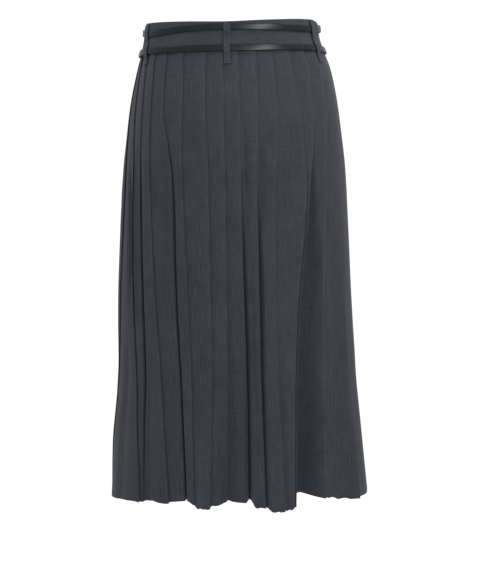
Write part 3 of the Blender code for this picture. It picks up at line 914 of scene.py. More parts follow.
class ClothGrid:
    """The wall's middle line, as one row of points for each height, from the top."""

    FEEL = 0.3 * MM  # how far to each side a direction is taken from

    def __init__(self, levels: Numbers, rows: Sequence[Row]) -> None:
        """Measure how far along its row each point lies.

        Args:
            levels: the rows' heights.
            rows: the rows' points.
        """
        self.levels = levels
        self.rows = rows
        self.spans = []
        for row in rows:
            span = [0.0]
            for a, b in zip(row, row[1:]):
                span.append(span[-1] + (b - a).length)
            self.spans.append(span)

    def outward(self, number: int) -> list[Vector]:
        """Return the level direction out of the cloth's face at each point of a row."""
        row, span = self.rows[number], self.spans[number]

        def at(along: float) -> Vector:
            """Return the point that lies a length along the row."""
            along = min(max(along, 0.0), span[-1])
            i = min(max(bisect.bisect_left(span, along) - 1, 0), len(row) - 2)
            step = max(span[i + 1] - span[i], 1e-9)
            return row[i].lerp(row[i + 1], (along - span[i]) / step)

        directions = []
        for along in span:
            tangent = at(along + self.FEEL) - at(along - self.FEEL)
            directions.append(Vector((tangent.y, -tangent.x, 0.0)).normalized())
        return directions


FOLDS = (
    #    waist    hip    seat   knee    hem | gap: seat knee hem | dip: seat knee hem | out lift
    Fold(-83.0, -82.0, -76.5, -79.0, -93.0, 2.0, 1.0, 1.0, 9.0, 5.0, 4.0, 2.0, -4.0),
    Fold(-75.0, -70.8, -66.3, -64.8, -58.3, 3.0, 3.0, 1.0, 11.0, 10.0, 4.0, -3.0, 0.0),
    Fold(-67.8, -62.8, -60.0, -58.9, -57.0, 4.0, 6.0, 4.0, 11.0, 15.0, 9.0, -6.0, 0.5),
    Fold(-59.0, -55.0, -52.1, -48.8, -40.5, 0.0, 0.0, 1.0, 4.0, 5.0, 7.0, -6.0, 1.0),
    Fold(-48.6, -45.4, -37.8, -36.6, -31.8, 12.0, 4.0, 4.0, 12.0, 15.0, 16.0, -14.0, 5.0),
    Fold(-35.8, -31.9, -30.0, -27.7, -24.8, 0.0, 0.0, 0.0, 4.0, 4.0, 5.0, -5.0, 2.0),
    Fold(-17.8, -15.8, -12.8, -12.7, -13.5, 0.0, 0.0, 1.0, 4.0, 4.0, 9.0, 13.0, -3.5),
    Fold(-3.3, -2.8, -1.8, -2.5, -4.5, 0.0, 0.0, 0.0, 4.0, 4.0, 6.0, -15.0, 4.5),
    Fold(9.2, 8.8, 8.5, 8.9, 7.8, 4.0, 8.0, 11.0, 9.0, 16.0, 24.0, -7.0, 4.0),
    Fold(23.0, 21.3, 18.8, 18.7, 19.4, 6.0, 9.0, 4.0, 10.0, 16.0, 14.0, 11.0, -1.3),
    Fold(35.2, 34.2, 30.3, 29.0, 29.6, 0.0, 1.0, 1.0, 4.0, 5.0, 5.0, 17.0, -7.0),
    Fold(47.3, 47.6, 49.4, 41.8, 34.6, 0.0, 0.0, 0.0, 4.0, 4.0, 4.0, 14.6, -2.2),
    Fold(58.8, 58.0, 52.4, 43.1, 35.6, 16.0, 40.0, 52.0, 12.0, 28.0, 60.0, 14.0, -1.2),
    Fold(70.0, 68.8, 63.0, 61.5, 60.6, 0.0, 1.0, 1.0, 4.0, 5.0, 5.0, -10.0, 3.5),
    Fold(82.5, 82.0, 78.5, 81.5, 72.5, 0.0, 3.0, 4.0, 4.0, 9.0, 10.0, 4.0, -2.0),
    Fold(93.0, 93.0, 91.5, 95.0, 92.0, 2.0, 2.0, 3.0, 7.0, 8.0, 10.0, -2.0, 1.0),
    Fold(103.5, 103.0, 101.0, 103.0, 103.5, 0.0, 0.0, 1.0, 4.0, 4.0, 6.0, -6.0, 2.0),
    Fold(114.0, 113.0, 110.0, 109.0, 111.0, 0.0, 2.0, 4.0, 4.0, 9.0, 14.0, 5.0, -1.0),
    Fold(125.0, 124.0, 121.0, 119.0, 118.0, 2.0, 5.0, 3.0, 8.0, 14.0, 12.0, -8.0, 3.0),
    Fold(137.0, 136.0, 133.0, 130.0, 126.0, 3.0, 7.0, 12.0, 8.0, 15.0, 24.0, 10.0, -3.0),
    Fold(149.5, 149.0, 147.0, 145.0, 142.0, 0.0, 0.0, 1.0, 4.0, 5.0, 8.0, -10.0, 4.0),
    Fold(164.0, 163.5, 162.0, 160.5, 158.0, 0.0, 0.0, 0.0, 4.0, 4.0, 5.0, -3.0, 1.0),
    Fold(179.0, 179.0, 178.0, 177.5, 175.0, 0.0, 3.0, 5.0, 4.0, 9.0, 14.0, 8.0, -2.0),
    Fold(194.0, 194.0, 193.5, 192.0, 190.0, 0.0, 0.0, 1.0, 4.0, 5.0, 7.0, -6.0, 2.0),
    Fold(208.0, 208.0, 208.0, 207.0, 204.0, 4.0, 6.0, 4.0, 9.0, 14.0, 12.0, 0.0, 0.0),
    Fold(220.5, 221.0, 221.5, 219.0, 213.0, 0.0, 4.0, 14.0, 4.0, 10.0, 26.0, 12.0, -3.0),
    Fold(232.5, 233.0, 234.0, 233.0, 229.0, 0.0, 0.0, 0.0, 4.0, 4.0, 6.0, -10.0, 4.0),
    Fold(244.5, 245.0, 246.0, 245.0, 241.0, 3.0, 4.0, 4.0, 8.0, 13.0, 14.0, 2.0, 0.0),
    Fold(255.5, 256.0, 257.0, 255.5, 249.5, 0.0, 0.0, 1.0, 4.0, 5.0, 7.0, -5.0, 2.0),
    Fold(266.5, 267.0, 269.5, 267.5, 258.0, 3.0, 5.0, 3.0, 9.0, 13.0, 10.0, 0.0, 0.0),
)
RIGHT_SEAM_FOLD = 14  # the folds that hide the side seams
LEFT_SEAM_FOLD = 0

CREASES = (
    #      top and foot: angle, height | half widths | depth
    Crease(-80.0, -78.5, -0.170, -0.420, 3.0, 3.0, -1.5),
    Crease(-68.0, -66.8, -0.160, -0.430, 6.0, 2.5, 5.5),
    Crease(-63.9, -62.8, -0.130, -0.460, 1.8, 1.4, -3.0),
    Crease(-61.2, -60.4, -0.150, -0.480, 2.0, 1.2, 2.5),
    Crease(-56.0, -55.5, -0.120, -0.400, 3.0, 6.0, -1.2),
    Crease(-49.5, -45.5, -0.160, -0.360, 3.0, 6.0, 1.6),
    Crease(-42.5, -39.5, -0.100, -0.330, 3.0, 11.0, 4.5),
    Crease(-33.2, -31.0, -0.090, -0.360, 3.5, 3.0, -2.4),
    Crease(-86.0, -86.0, -0.440, -0.620, 9.0, 9.0, 1.8),
    Crease(-70.0, -71.5, -0.440, -0.700, 6.0, 6.0, 3.0),
    Crease(-55.0, -54.5, -0.500, -0.700, 2.5, 10.0, 4.0),
    Crease(-46.5, -45.5, -0.540, -0.700, 6.0, 6.0, -1.6),
    Crease(-21.0, -19.5, -0.420, -0.700, 12.0, 10.0, -1.6),
    Crease(-9.0, -9.0, -0.330, -0.700, 9.0, 9.0, 1.2),
    Crease(1.0, 2.5, -0.300, -0.660, 8.0, 8.0, -1.0),
    Crease(10.8, 11.2, -0.100, -0.330, 3.0, 6.0, 2.2),
    Crease(6.0, 5.8, -0.380, -0.700, 6.0, 4.0, 1.8),
    Crease(14.0, 15.5, -0.330, -0.620, 5.0, 3.0, 3.0),
    Crease(20.8, 21.2, -0.130, -0.320, 3.0, 7.0, 2.4),
    Crease(21.8, 22.6, -0.380, -0.700, 4.0, 9.0, -4.0),
    Crease(30.5, 31.0, -0.460, -0.700, 5.0, 4.0, 2.0),
    Crease(60.0, 54.0, -0.240, -0.700, 3.0, 4.0, -2.5),
    Crease(66.0, 64.0, -0.300, -0.700, 4.0, 9.0, 1.6),
    Crease(75.0, 72.0, -0.330, -0.700, 10.0, 8.0, -2.6),
    Crease(89.0, 87.0, -0.480, -0.700, 8.0, 12.0, 1.4),
    Crease(108.0, 107.0, -0.350, -0.700, 9.0, 9.0, 1.6),
    Crease(131.0, 122.0, -0.140, -0.400, 8.0, 3.0, 2.4),
    Crease(153.0, 150.0, -0.420, -0.700, 11.0, 11.0, -1.8),
    Crease(170.0, 167.0, -0.500, -0.700, 8.0, 7.0, 2.0),
    Crease(184.0, 182.0, -0.330, -0.660, 9.0, 9.0, -1.4),
    Crease(200.0, 197.0, -0.460, -0.700, 7.0, 9.0, 1.8),
    Crease(226.0, 221.0, -0.300, -0.640, 9.0, 11.0, -1.8),
    Crease(239.0, 236.0, -0.520, -0.700, 7.0, 7.0, 2.2),
    Crease(252.0, 247.0, -0.380, -0.700, 10.0, 8.0, 1.5),
)

HEM_DROPS = (
    #       angle, half widths before and after, drop
    HemDrop(-58.0, 3.0, 3.0, 1.2),
    HemDrop(-50.5, 5.0, 6.0, -1.6),
    HemDrop(-42.4, 4.0, 3.0, 1.2),
    HemDrop(-22.5, 5.0, 6.0, 6.0),
    HemDrop(-18.8, 2.5, 2.5, 1.8),
    HemDrop(-13.0, 3.0, 6.0, -2.8),
    HemDrop(-4.0, 3.0, 4.0, -1.6),
    HemDrop(10.0, 3.0, 2.0, 1.8),
    HemDrop(14.0, 3.0, 5.0, 3.2),
    HemDrop(23.0, 5.0, 8.0, 4.8),
    HemDrop(31.0, 1.6, 1.6, 1.6),
    HemDrop(33.4, 2.8, 2.6, 2.6),
    HemDrop(45.5, 5.0, 9.0, -4.2),
    HemDrop(54.5, 4.0, 5.0, 1.6),
    HemDrop(57.5, 2.4, 2.6, 1.4),
    HemDrop(63.0, 5.0, 8.0, 3.6),
    HemDrop(68.0, 4.0, 6.0, 1.4),
    HemDrop(-93.0, 7.0, 8.0, 3.5),
    HemDrop(116.0, 9.0, 9.0, 3.0),
    HemDrop(135.0, 8.0, 6.0, -3.0),
    HemDrop(166.0, 10.0, 12.0, 3.5),
    HemDrop(199.0, 8.0, 10.0, -2.5),
    HemDrop(219.0, 9.0, 9.0, 4.0),
    HemDrop(246.0, 7.0, 9.0, -2.0),
)


@dataclass
class PleatedCloth:
    """The pleated skirt below the waistband, in a back and a front piece.

    A pleat's section runs along its panel to the fold edge, turns under it to the inner corner, goes
    on over the floor to the floor's end, and from there up to where the next panel comes out. That
    line is the middle of the wall, and the cloth lies about it.
    """

    waist_seam: float = WAIST_SEAM
    hem: float = -0.7035
    seam_gap: float = SEAM_GAP
    sewn_in: float = 2.0 * MM  # how far the cloth runs up past its seam, inside the waistband
    wall: float = 1.1 * MM  # half of it lies between the outline and the wall's middle
    ply: float = 1.05 * MM  # from one layer of a folded pleat to the next
    cloth: float = 0.8 * MM  # thickness of the cloth
    hem_ply: float = 0.72 * MM  # how much thicker it is where the hem is turned up
    hem_depth: float = 0.034  # height of the turned-up part
    closed_depth: float = 3.8 * MM  # depth of a pleat whose layers lie on each other
    fully_open: float = 20.0 * MM  # depth of a pleat that is a full open valley
    underlay: float = 8.0 * MM  # how far a closed pleat runs back under its fold edge
    emerge: float = 3.0 * MM  # from a fold edge to where the next panel comes out from under it
    floor_lift: float = 0.16  # how much an open valley's floor is lifted, for its depth
    steepest: float = 12.0 * MM  # how far that floor lies past its fold edge at most
    edge_round: float = 4.0 * MM  # radius of an open valley's fold edge and inner corner
    floor_round: float = 2.0 * MM  # radius at both ends of its floor
    start_round: float = 3.0 * MM  # radius where the next panel comes out
    hang: float = 1.8 * MM  # how much shorter the cloth beside a fold edge hangs at the hem
    hang_full: float = 7.0 * MM  # depth from which a pleat does so in full
    sag: float = 0.08  # how far an open valley's far side sags in, for its width
    dropping: float = -0.58  # height where the hem's drops begin
    crisp_down_to: float = -0.15  # height down to which the edges are pressed fully
    crisp_hem: float = 0.25  # how much of the pressing is left at the hem
    pressed_width: float = 1.3 * MM  # how far a pressed edge, with its painted highlight, shows to each side
    cloth_step: float = 0.0837  # how far on in the weave each pleat starts
    heights: tuple[float, ...] = (-0.030, -0.100, -0.220, -0.420, -0.7035)  # waist, hip, seat, knee, hem
    rows: int = 88
    panel_points: int = 11

    # The far side's points: what share of the way over they lie, and how much of the sag they take.
    SAGGING = ((0.3, 1.0), (0.5, 0.15), (0.7, -0.4))
    # How many steps round the edge, the inner corner, the floor and its end, and the next start.
    EDGE_STEPS, INNER_STEPS, FLOOR_STEPS, START_STEPS = 5, 3, 2, 3
    HEM_TURNS = (50.0, 90.0, 130.0)  # how the lower edge turns under, in degrees
    REACH_IN = 0.07  # a crease or a drop pulls only the cloth less than this inside it
    HUNG_LENGTH, HUNG_AREA = 1.01, 1.012  # the cloth laid flat, for its drop and its area as it hangs

    def __post_init__(self) -> None:
        """Set up the curves of every fold."""
        closed = self.closed_depth / MM
        self.curves = []
        for fold in FOLDS:
            dips = (closed, closed, *(max(closed, dip) for dip in fold[8:11]))
            columns = (fold[:5], (0.0, 0.0, *fold[5:8]), dips)
            self.curves.append([Curve(self.heights, column) for column in columns])

    def low(self, z: float) -> float:
        """Return how far a height is down from the seat to the hem, from 0 to 1."""
        return share(z, self.heights[2], self.hem)

    def fold(self, number: int, z: float) -> FoldHere:
        """Return a fold at a height. Numbers run on past the last fold for a second turn."""
        turn, index = divmod(number, len(FOLDS))
        angle, gap, dip = (curve.at(z) for curve in self.curves[index])
        low = self.low(z)
        return FoldHere(
            angle=angle + FULL_TURN * turn,
            gap=MM * gap,
            dip=MM * dip,
            out=MM * FOLDS[index].out * low**1.5,
            lift=MM * FOLDS[index].lift * low**2,
        )

    def openness(self, fold: FoldHere) -> float:
        """Return 0 where the fold's layers lie on each other, and 1 for a full open valley."""
        return share(fold.dip, self.closed_depth, self.fully_open)

    def panel_start(self, section: Section, fold: FoldHere, after: FoldHere) -> PanelStart:
        """Work out where the panel between two folds comes out.

        Args:
            section: the outline at this height.
            fold: the fold that the panel comes out beside.
            after: the fold at the panel's other end.

        Returns:
            The panel's start.
        """
        opened = self.openness(fold)
        width = section.girth(fold.angle, after.angle)
        wanted = mix(self.emerge, fold.gap + 0.6 * self.emerge, opened)
        along = min(wanted, mix(0.6, 0.85, opened) * width)
        toward = share(along, 0.0, 0.6 * width)
        hang = self.hang * share(fold.dip, self.closed_depth, self.hang_full) * self.low(section.z) ** 2
        return PanelStart(
            along=along,
            depth=mix(2.0 * self.ply, 0.6 * self.ply, opened),
            out=mix(fold.out, after.out, toward),
            lift=mix(fold.lift, after.lift, toward) + hang,
            width=width - along,
        )

    def start_point(self, section: Section, fold: FoldHere, start: PanelStart) -> Vector:
        """Return the point where the panel beside a fold comes out."""
        outward = -self.wall / 2.0 + start.out - start.depth
        return section.place(fold.angle, start.along, outward, section.z + start.lift)

    def knots(
        self, section: Section, before: FoldHere, fold: FoldHere, after: FoldHere, came: Vector
    ) -> list[Knot]:
        """Work out one panel's section, round its fold edge and on to the next panel's start.

        Args:
            section: the outline at this height.
            before: the fold beside which the panel starts.
            fold: the fold at the panel's end.
            after: the next fold.
            came: the panel's real start, from the pleat before.

        Returns:
            The corners, the last of which is the next panel's start.
        """
        level = -self.wall / 2.0
        start = self.panel_start(section, before, fold)
        tucked = min(self.underlay, 0.42 * start.width)

        def on_panel(t: float) -> Vector:
            """Return the point a share t of the way over the panel, before it is fitted to its start."""
            swing = mix(t, eased(t), 0.85)
            outward = level - start.depth * (1.0 - t) ** 1.6 + mix(start.out, fold.out, swing)
            lifted = section.z + mix(start.lift, fold.lift, swing)
            return section.place(before.angle, start.along + start.width * t, outward, lifted)

        def beside_edge(along: float, outward: float, lifted: float = 0.0) -> Vector:
            """Return a point that is so far along, outward and up from the fold edge."""
            height = section.z + fold.lift + lifted
            return section.place(fold.angle, along, outward + level + fold.out, height)

        # The panel stops where its underlay starts, and its start is moved to the real one.
        last = 1.0 - tucked / start.width
        edge = beside_edge(0.0, 0.0)
        shift = came - on_panel(0.0)
        panel = []
        for i in range(1, self.panel_points + 1):
            t = i / self.panel_points * last
            panel.append(on_panel(t) + shift * (1.0 - t / last) ** 2)

        # The directions at the edge: on over the panel, and in under it.
        onward = edge - panel[-1]
        onward.z = 0.0
        runs_back = 0.95 * onward.length
        onward.normalize()
        inward = Vector((0.0, 0.0, 1.0)).cross(onward)
        if inward.dot(edge) > 0.0:
            inward.negate()

        # A closed pleat's floor runs back under the panel, and an open one's drops past the edge.
        opened = self.openness(fold)
        turned = math.radians(90.0 * opened)
        inner = edge + inward * self.ply
        floor_closed = inner - onward * runs_back
        floor_along = min(0.5 * (fold.gap - self.ply), self.steepest)
        floor_open = beside_edge(floor_along, -fold.dip, self.floor_lift * fold.dip)
        floor = floor_closed.lerp(floor_open, opened)
        floor_end = floor + (inward * math.cos(turned) + onward * math.sin(turned)) * self.ply
        inner = inner.lerp(edge.lerp(floor, 0.5), opened)

        # The next panel comes out below both layers.
        next_start = self.panel_start(section, fold, after)
        beyond = self.start_point(section, fold, next_start)
        clear = (edge + inward * 2.0 * self.ply - beyond).dot(inward)
        if clear > 0.0:
            beyond += inward * clear * (1.0 - opened)
        across = beyond - floor_end
        sagging = section.place(fold.angle, next_start.along, -1.0)
        sagging -= section.place(fold.angle, next_start.along)
        sagging *= self.sag * across.length * opened

        half = self.ply / 2.0
        return [
            *(Knot(point) for point in panel),
            Knot(edge, mix(half, self.edge_round, opened), self.EDGE_STEPS),
            Knot(inner, mix(half, self.edge_round, opened), self.INNER_STEPS),
            Knot(floor, mix(half, self.floor_round, opened), self.FLOOR_STEPS),
            Knot(floor_end, mix(half, self.floor_round, opened), self.FLOOR_STEPS),
            *(Knot(floor_end + across * t + sagging * deeper) for t, deeper in self.SAGGING),
            Knot(beyond, self.start_round, self.START_STEPS),
        ]

    @staticmethod
    def rounded(knots: Sequence[Knot]) -> list[Vector]:
        """Draw a line through corners, each rounded by its own radius with a fixed number of points."""
        points = [knots[0].point]
        for before, knot, after in zip(knots, knots[1:], knots[2:]):
            if not knot.steps:
                points.append(knot.point)
                continue
            back, on = before.point - knot.point, after.point - knot.point
            turn = math.pi - back.angle(on)
            reach = knot.radius * math.tan(min(turn, 2.6) / 2.0)
            near = min(reach, 0.5 * back.length, 0.5 * on.length)
            near = max(near, min(0.25 * MM, 0.3 * back.length, 0.3 * on.length))
            first, last = knot.point + back.normalized() * near, knot.point + on.normalized() * near
            for i in range(knot.steps + 1):
                t = i / knot.steps
                points.append(first * (1.0 - t) ** 2 + knot.point * (2.0 * t * (1.0 - t)) + last * t * t)
        points.append(knots[-1].point)
        return points

    def side_seam(self, pleat: Sequence[Knot], side: float) -> Knot:
        """Return the side seam's corner in a pleat's far side.

        Args:
            pleat: the pleat's corners.
            side: 1 for what lies after the seam, and -1 for what lies before it.

        Returns:
            The corner, half a seam gap from the middle of the far side's first two points.
        """
        toward, away = pleat[-4].point, pleat[-3].point
        half_gap = self.seam_gap / 2.0
        return Knot((toward + away) / 2.0 + (away - toward).normalized() * (side * half_gap))

    def row(self, z: float, first: int, last: int) -> list[Vector]:
        """Return the wall's middle line at a height, from one hidden seam to the other."""
        section = OUTLINE.at(z)
        folds = {number: self.fold(number, z) for number in range(first - 1, last + 2)}
        start = self.panel_start(section, folds[first - 1], folds[first])
        came = self.start_point(section, folds[first - 1], start)
        pleats = []
        for number in range(first, last + 1):
            pleats.append(self.knots(section, folds[number - 1], folds[number], folds[number + 1], came))
            came = pleats[-1][-1].point
        knots = [self.side_seam(pleats[0], 1.0), *pleats[0][-3:]]
        for pleat in pleats[1:]:
            knots += pleat
        knots[-3:] = [self.side_seam(pleats[-1], -1.0)]
        return self.rounded(knots)

    def nearness(
        self, section: Section, angle: float, before: float, after: float
    ) -> Callable[[Vector], float]:
        """Return a function that tells how near a point is to the line that stands at an angle.

        Args:
            section: the outline at this height.
            angle: the line's angle in degrees.
            before: the half width before the line, in mm.
            after: the half width after it, in mm.

        Returns:
            A function that is 1 on the line and falls to 0 on both sides.
        """
        middle = section.point(angle)
        inward = section.place(angle, 0.0, -1.0) - section.place(angle)
        onward = Vector((inward.y, -inward.x, 0.0)).normalized()

        def near(point: Vector) -> float:
            """Return how near a point is, from 0 to 1. It is 0 from 2.2 half widths on."""
            away = point - middle
            along = away.dot(onward) / MM
            off = abs(along) / (2.2 * (after if along > 0.0 else before))
            if off >= 1.0 or away.dot(inward) > self.REACH_IN:
                return 0.0
            return math.exp(-4.0 * off**2) * (1.0 - off**2)

        return near

    def creased(self, row: Row, z: float) -> list[Vector]:
        """Sink the troughs, raise the ridges and drop the hem where they cross a row at a height."""
        section = OUTLINE.at(z)
        pulls = []
        for crease in CREASES:
            angle, strength = crease.at(z)
            if strength > 0.0:
                inward = section.place(angle, 0.0, -1.0) - section.place(angle)
                pull = inward * (MM * crease.depth * strength)
                pulls.append((self.nearness(section, angle, crease.before, crease.after), pull))
        low = share(z, self.dropping, self.hem) ** 2
        for drop in HEM_DROPS if low > 0.0 else ():
            pull = Vector((0.0, 0.0, -MM * drop.drop * low))
            pulls.append((self.nearness(section, drop.angle, drop.before, drop.after), pull))
        return [point + sum((pull * near(point) for near, pull in pulls), Vector()) for point in row]

    def column_places(self, pleats: int) -> tuple[list[int], list[int]]:
        """Work out how the points of a row are shared out.

        Args:
            pleats: how many whole pleats the piece has.

        Returns:
            For each step between two points, the pleat it belongs to, and for each pleat the number
            of its fold edge's middle point.
        """
        turns = (self.EDGE_STEPS, self.INNER_STEPS, self.FLOOR_STEPS, self.FLOOR_STEPS)
        counts = [self.panel_points, *(steps + 1 for steps in turns), len(self.SAGGING), self.START_STEPS + 1]
        at = 2 + counts[-1]  # what lies before the first whole pleat, of the one that the seam is in
        owners, edges = [0] * at, []
        for pleat in range(pleats):
            edges.append(at + counts[0] + counts[1] // 2)
            owners += [pleat] * sum(counts[:4])
            owners += [pleat + 1] * sum(counts[4:])
            at += sum(counts)
        return owners, edges

    def layer_rows(self) -> list[int]:
        """Return the row that each layer of the shell follows: down the face, round the hem, up inside."""
        return [*range(self.rows + 1), *[self.rows] * len(self.HEM_TURNS), *range(self.rows, -1, -1)]

    def fill(self, mesh: Mesh, grid: ClothGrid) -> None:
        """Give the mesh its two faces, a turned-up hem inside and closed edges.

        Args:
            mesh: the mesh to fill.
            grid: the wall's middle line.
        """
        columns = len(grid.rows[0])
        thin = self.cloth / 2.0
        normals = [grid.outward(i) for i in range(self.rows + 1)]

        def layer(i: int, away: float, sunk: float = 0.0) -> list[Vector]:
            """Return a row's points, moved out of the cloth and down."""
            down = Vector((0.0, 0.0, sunk))
            return [point + normal * away - down for point, normal in zip(grid.rows[i], normals[i])]

        layers = [layer(i, thin) for i in range(self.rows + 1)]
        for turn in self.HEM_TURNS:
            reach = thin if turn < 90.0 else thin + self.hem_ply
            angle = math.radians(turn)
            layers.append(layer(self.rows, reach * math.cos(angle), thin * math.sin(angle)))
        for i in range(self.rows, -1, -1):
            turned_up = grid.levels[i] < self.hem + self.hem_depth
            layers.append(layer(i, -(thin + (self.hem_ply if turned_up else 0.0))))

        count = len(layers)
        faces = []
        for i in range(count):
            k = (i + 1) % count
            for j in range(columns - 1):
                faces.append((i * columns + j, k * columns + j, k * columns + j + 1, i * columns + j + 1))
        for j in (0, columns - 1):
            for i in range(count // 2):
                k = count - 1 - i
                rim = (i, i + 1, k - 1, k) if k - 1 > i + 1 else (i, i + 1, k)
                corners = [number * columns + j for number in rim]
                faces.append(tuple(corners if j else reversed(corners)))
        mesh.from_pydata([tuple(point) for points in layers for point in points], [], faces)

    def unfold(self, mesh: Mesh, grid: ClothGrid, owners: list[int], edges: list[int]) -> None:
        """Lay the cloth out flat in the Cloth UV map, in metres, with its grain along each fold.

        Args:
            mesh: the shell.
            grid: the wall's middle line.
            owners: the pleat that each step between two points of a row belongs to.
            edges: the middle point of each pleat's fold edge.
        """
        columns = len(grid.rows[0])
        layer_rows = self.layer_rows()
        uvs = mesh.uv_layers.new(name="Cloth")
        values = []
        for face in mesh.polygons:
            numbers = [mesh.loops[k].vertex_index for k in face.loop_indices]
            step = min(min(number % columns for number in numbers), columns - 2)
            owner = min(owners[step], len(edges) - 1)
            for number in numbers:
                row = layer_rows[number // columns]
                span = grid.spans[row]
                along = span[number % columns] - span[edges[owner]]
                values += (along + self.cloth_step * owner, grid.levels[row])
        uvs.data.foreach_set("uv", values)

    def press(self, mesh: Mesh, grid: ClothGrid, edges: list[int]) -> None:
        """Mark how sharply each point is pressed, which is most along the upper fold edges. The wool paints
        these marks lighter as a painted highlight, and smoother.
        """
        marks = []
        for span, level in zip(grid.spans, grid.levels):
            crisp = mix(1.0, self.crisp_hem, share(level, self.crisp_down_to, self.hem))
            nearest = [span[edge] for edge in edges]
            row = []
            for at in span:
                away = min(abs(at - edge) for edge in nearest)
                row.append(crisp * math.exp(-((away / self.pressed_width) ** 2)))
            marks.append(row)
        mark(mesh, "pressed", [value for row in self.layer_rows() for value in marks[row]])

    def declare(self, shell: Piece, grid: ClothGrid) -> None:
        """Work out the flat size of the cloth that shows, from its own widths and heights; nothing is kept.
        """
        widths = [span[-1] for span in grid.spans]
        area = 0.0
        for i in range(self.rows):
            area += (widths[i] + widths[i + 1]) / 2.0 * (grid.levels[i] - grid.levels[i + 1])
        flat = (max(widths), self.HUNG_LENGTH * (grid.levels[0] - grid.levels[-1]))
        area = min(self.HUNG_AREA * area, flat[0] * flat[1])

    def piece(self, name: str, first: int, last: int, finish: Finish) -> Piece:
        """Make the shell from the seam under one fold to the seam under another."""
        drop = self.waist_seam + self.sewn_in - self.hem
        levels = [self.hem + drop * (1.0 - i / self.rows) for i in range(self.rows + 1)]
        grid = ClothGrid(levels, [self.creased(self.row(z, first, last), z) for z in levels])
        owners, edges = self.column_places(last - first)
        mesh = bpy.data.meshes.new(name)
        self.fill(mesh, grid)
        self.unfold(mesh, grid, owners, edges)
        self.press(mesh, grid, edges)
        shell = add_piece(name, mesh, finish)
        smooth_shade(shell, 60.0)
        self.declare(shell, grid)
        return shell

    def build(self, shop: Workshop) -> list[Piece]:
        """Make both pieces, in place of the solids."""
        halves = (
            ("back", LEFT_SEAM_FOLD, RIGHT_SEAM_FOLD),
            ("front", RIGHT_SEAM_FOLD, len(FOLDS) + LEFT_SEAM_FOLD),
        )
        made = []
        for half, first, last in halves:
            shell = self.piece("skirt_" + half + "_cloth", first, last, shop.wool)
            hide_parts("skirt_" + half)
            made.append(shell)
        return made


# --- Waist ---
class BeltLine(Enum):
    """Which of the two belts."""

    UPPER = "upper"
    LOWER = "lower"


class Around(NamedTuple):
    """What runs round the waist at an angle: heights, and in mm each belt's room behind it."""

    angle: float
    edge: float
    upper: float
    lower: float
    upper_room: float
    lower_room: float


WAIST_PLACES = (
    #      angle    edge    upper    lower    rooms
    Around(-180.0, 0.0155, 0.0065, -0.0195, 2.4, 2.4),
    Around(-158.0, 0.0158, 0.0068, -0.0197, 2.2, 2.2),
    Around(-138.0, 0.0165, 0.0078, -0.0202, 0.5, 0.5),
    Around(-112.0, 0.0168, 0.0100, -0.0215, 0.6, 1.2),
    Around(-90.0, 0.0172, 0.0108, -0.0222, 0.8, 1.9),
    Around(-69.0, 0.0226, 0.0056, -0.0203, 0.5, 0.6),
    Around(-35.0, 0.0209, 0.0098, -0.0200, 0.4, 0.4),
    Around(0.0, 0.0192, 0.0115, -0.0203, 0.4, 0.4),
    Around(35.0, 0.0209, 0.0100, -0.0200, 0.4, 0.4),
    Around(70.0, 0.0228, 0.0080, -0.0200, 0.5, 0.6),
    Around(90.0, 0.0188, 0.0118, -0.0222, 2.0, 1.4),
    Around(112.0, 0.0172, 0.0102, -0.0212, 1.2, 1.2),
    Around(138.0, 0.0165, 0.0080, -0.0202, 0.5, 0.5),
    Around(158.0, 0.0158, 0.0068, -0.0197, 2.2, 2.2),
    Around(180.0, 0.0155, 0.0065, -0.0195, 2.4, 2.4),
)


class WaistLines:
    """The waistband's upper edge and the two belts' lines, round the waist."""

    def __init__(self) -> None:
        """Set up one curve for each column of the table."""
        angles = [row.angle for row in WAIST_PLACES]
        names = Around._fields[1:]
        self.curves = {name: Curve(angles, [getattr(row, name) for row in WAIST_PLACES]) for name in names}

    def read(self, name: str, angle: float) -> float:
        """Read one column at an angle of any turn."""
        return self.curves[name].at((angle + 180.0) % 360.0 - 180.0)

    def edge(self, angle: float) -> float:
        """Return the height of the waistband's upper edge."""
        return self.read("edge", angle)

    def height(self, line: BeltLine, angle: float) -> float:
        """Return the height of a belt's middle."""
        return self.read(line.value, angle)

    def room(self, line: BeltLine, angle: float) -> float:
        """Return how far a belt's inner face stands off the waistband."""
        return MM * self.read(line.value + "_room", angle)


WAIST = WaistLines()


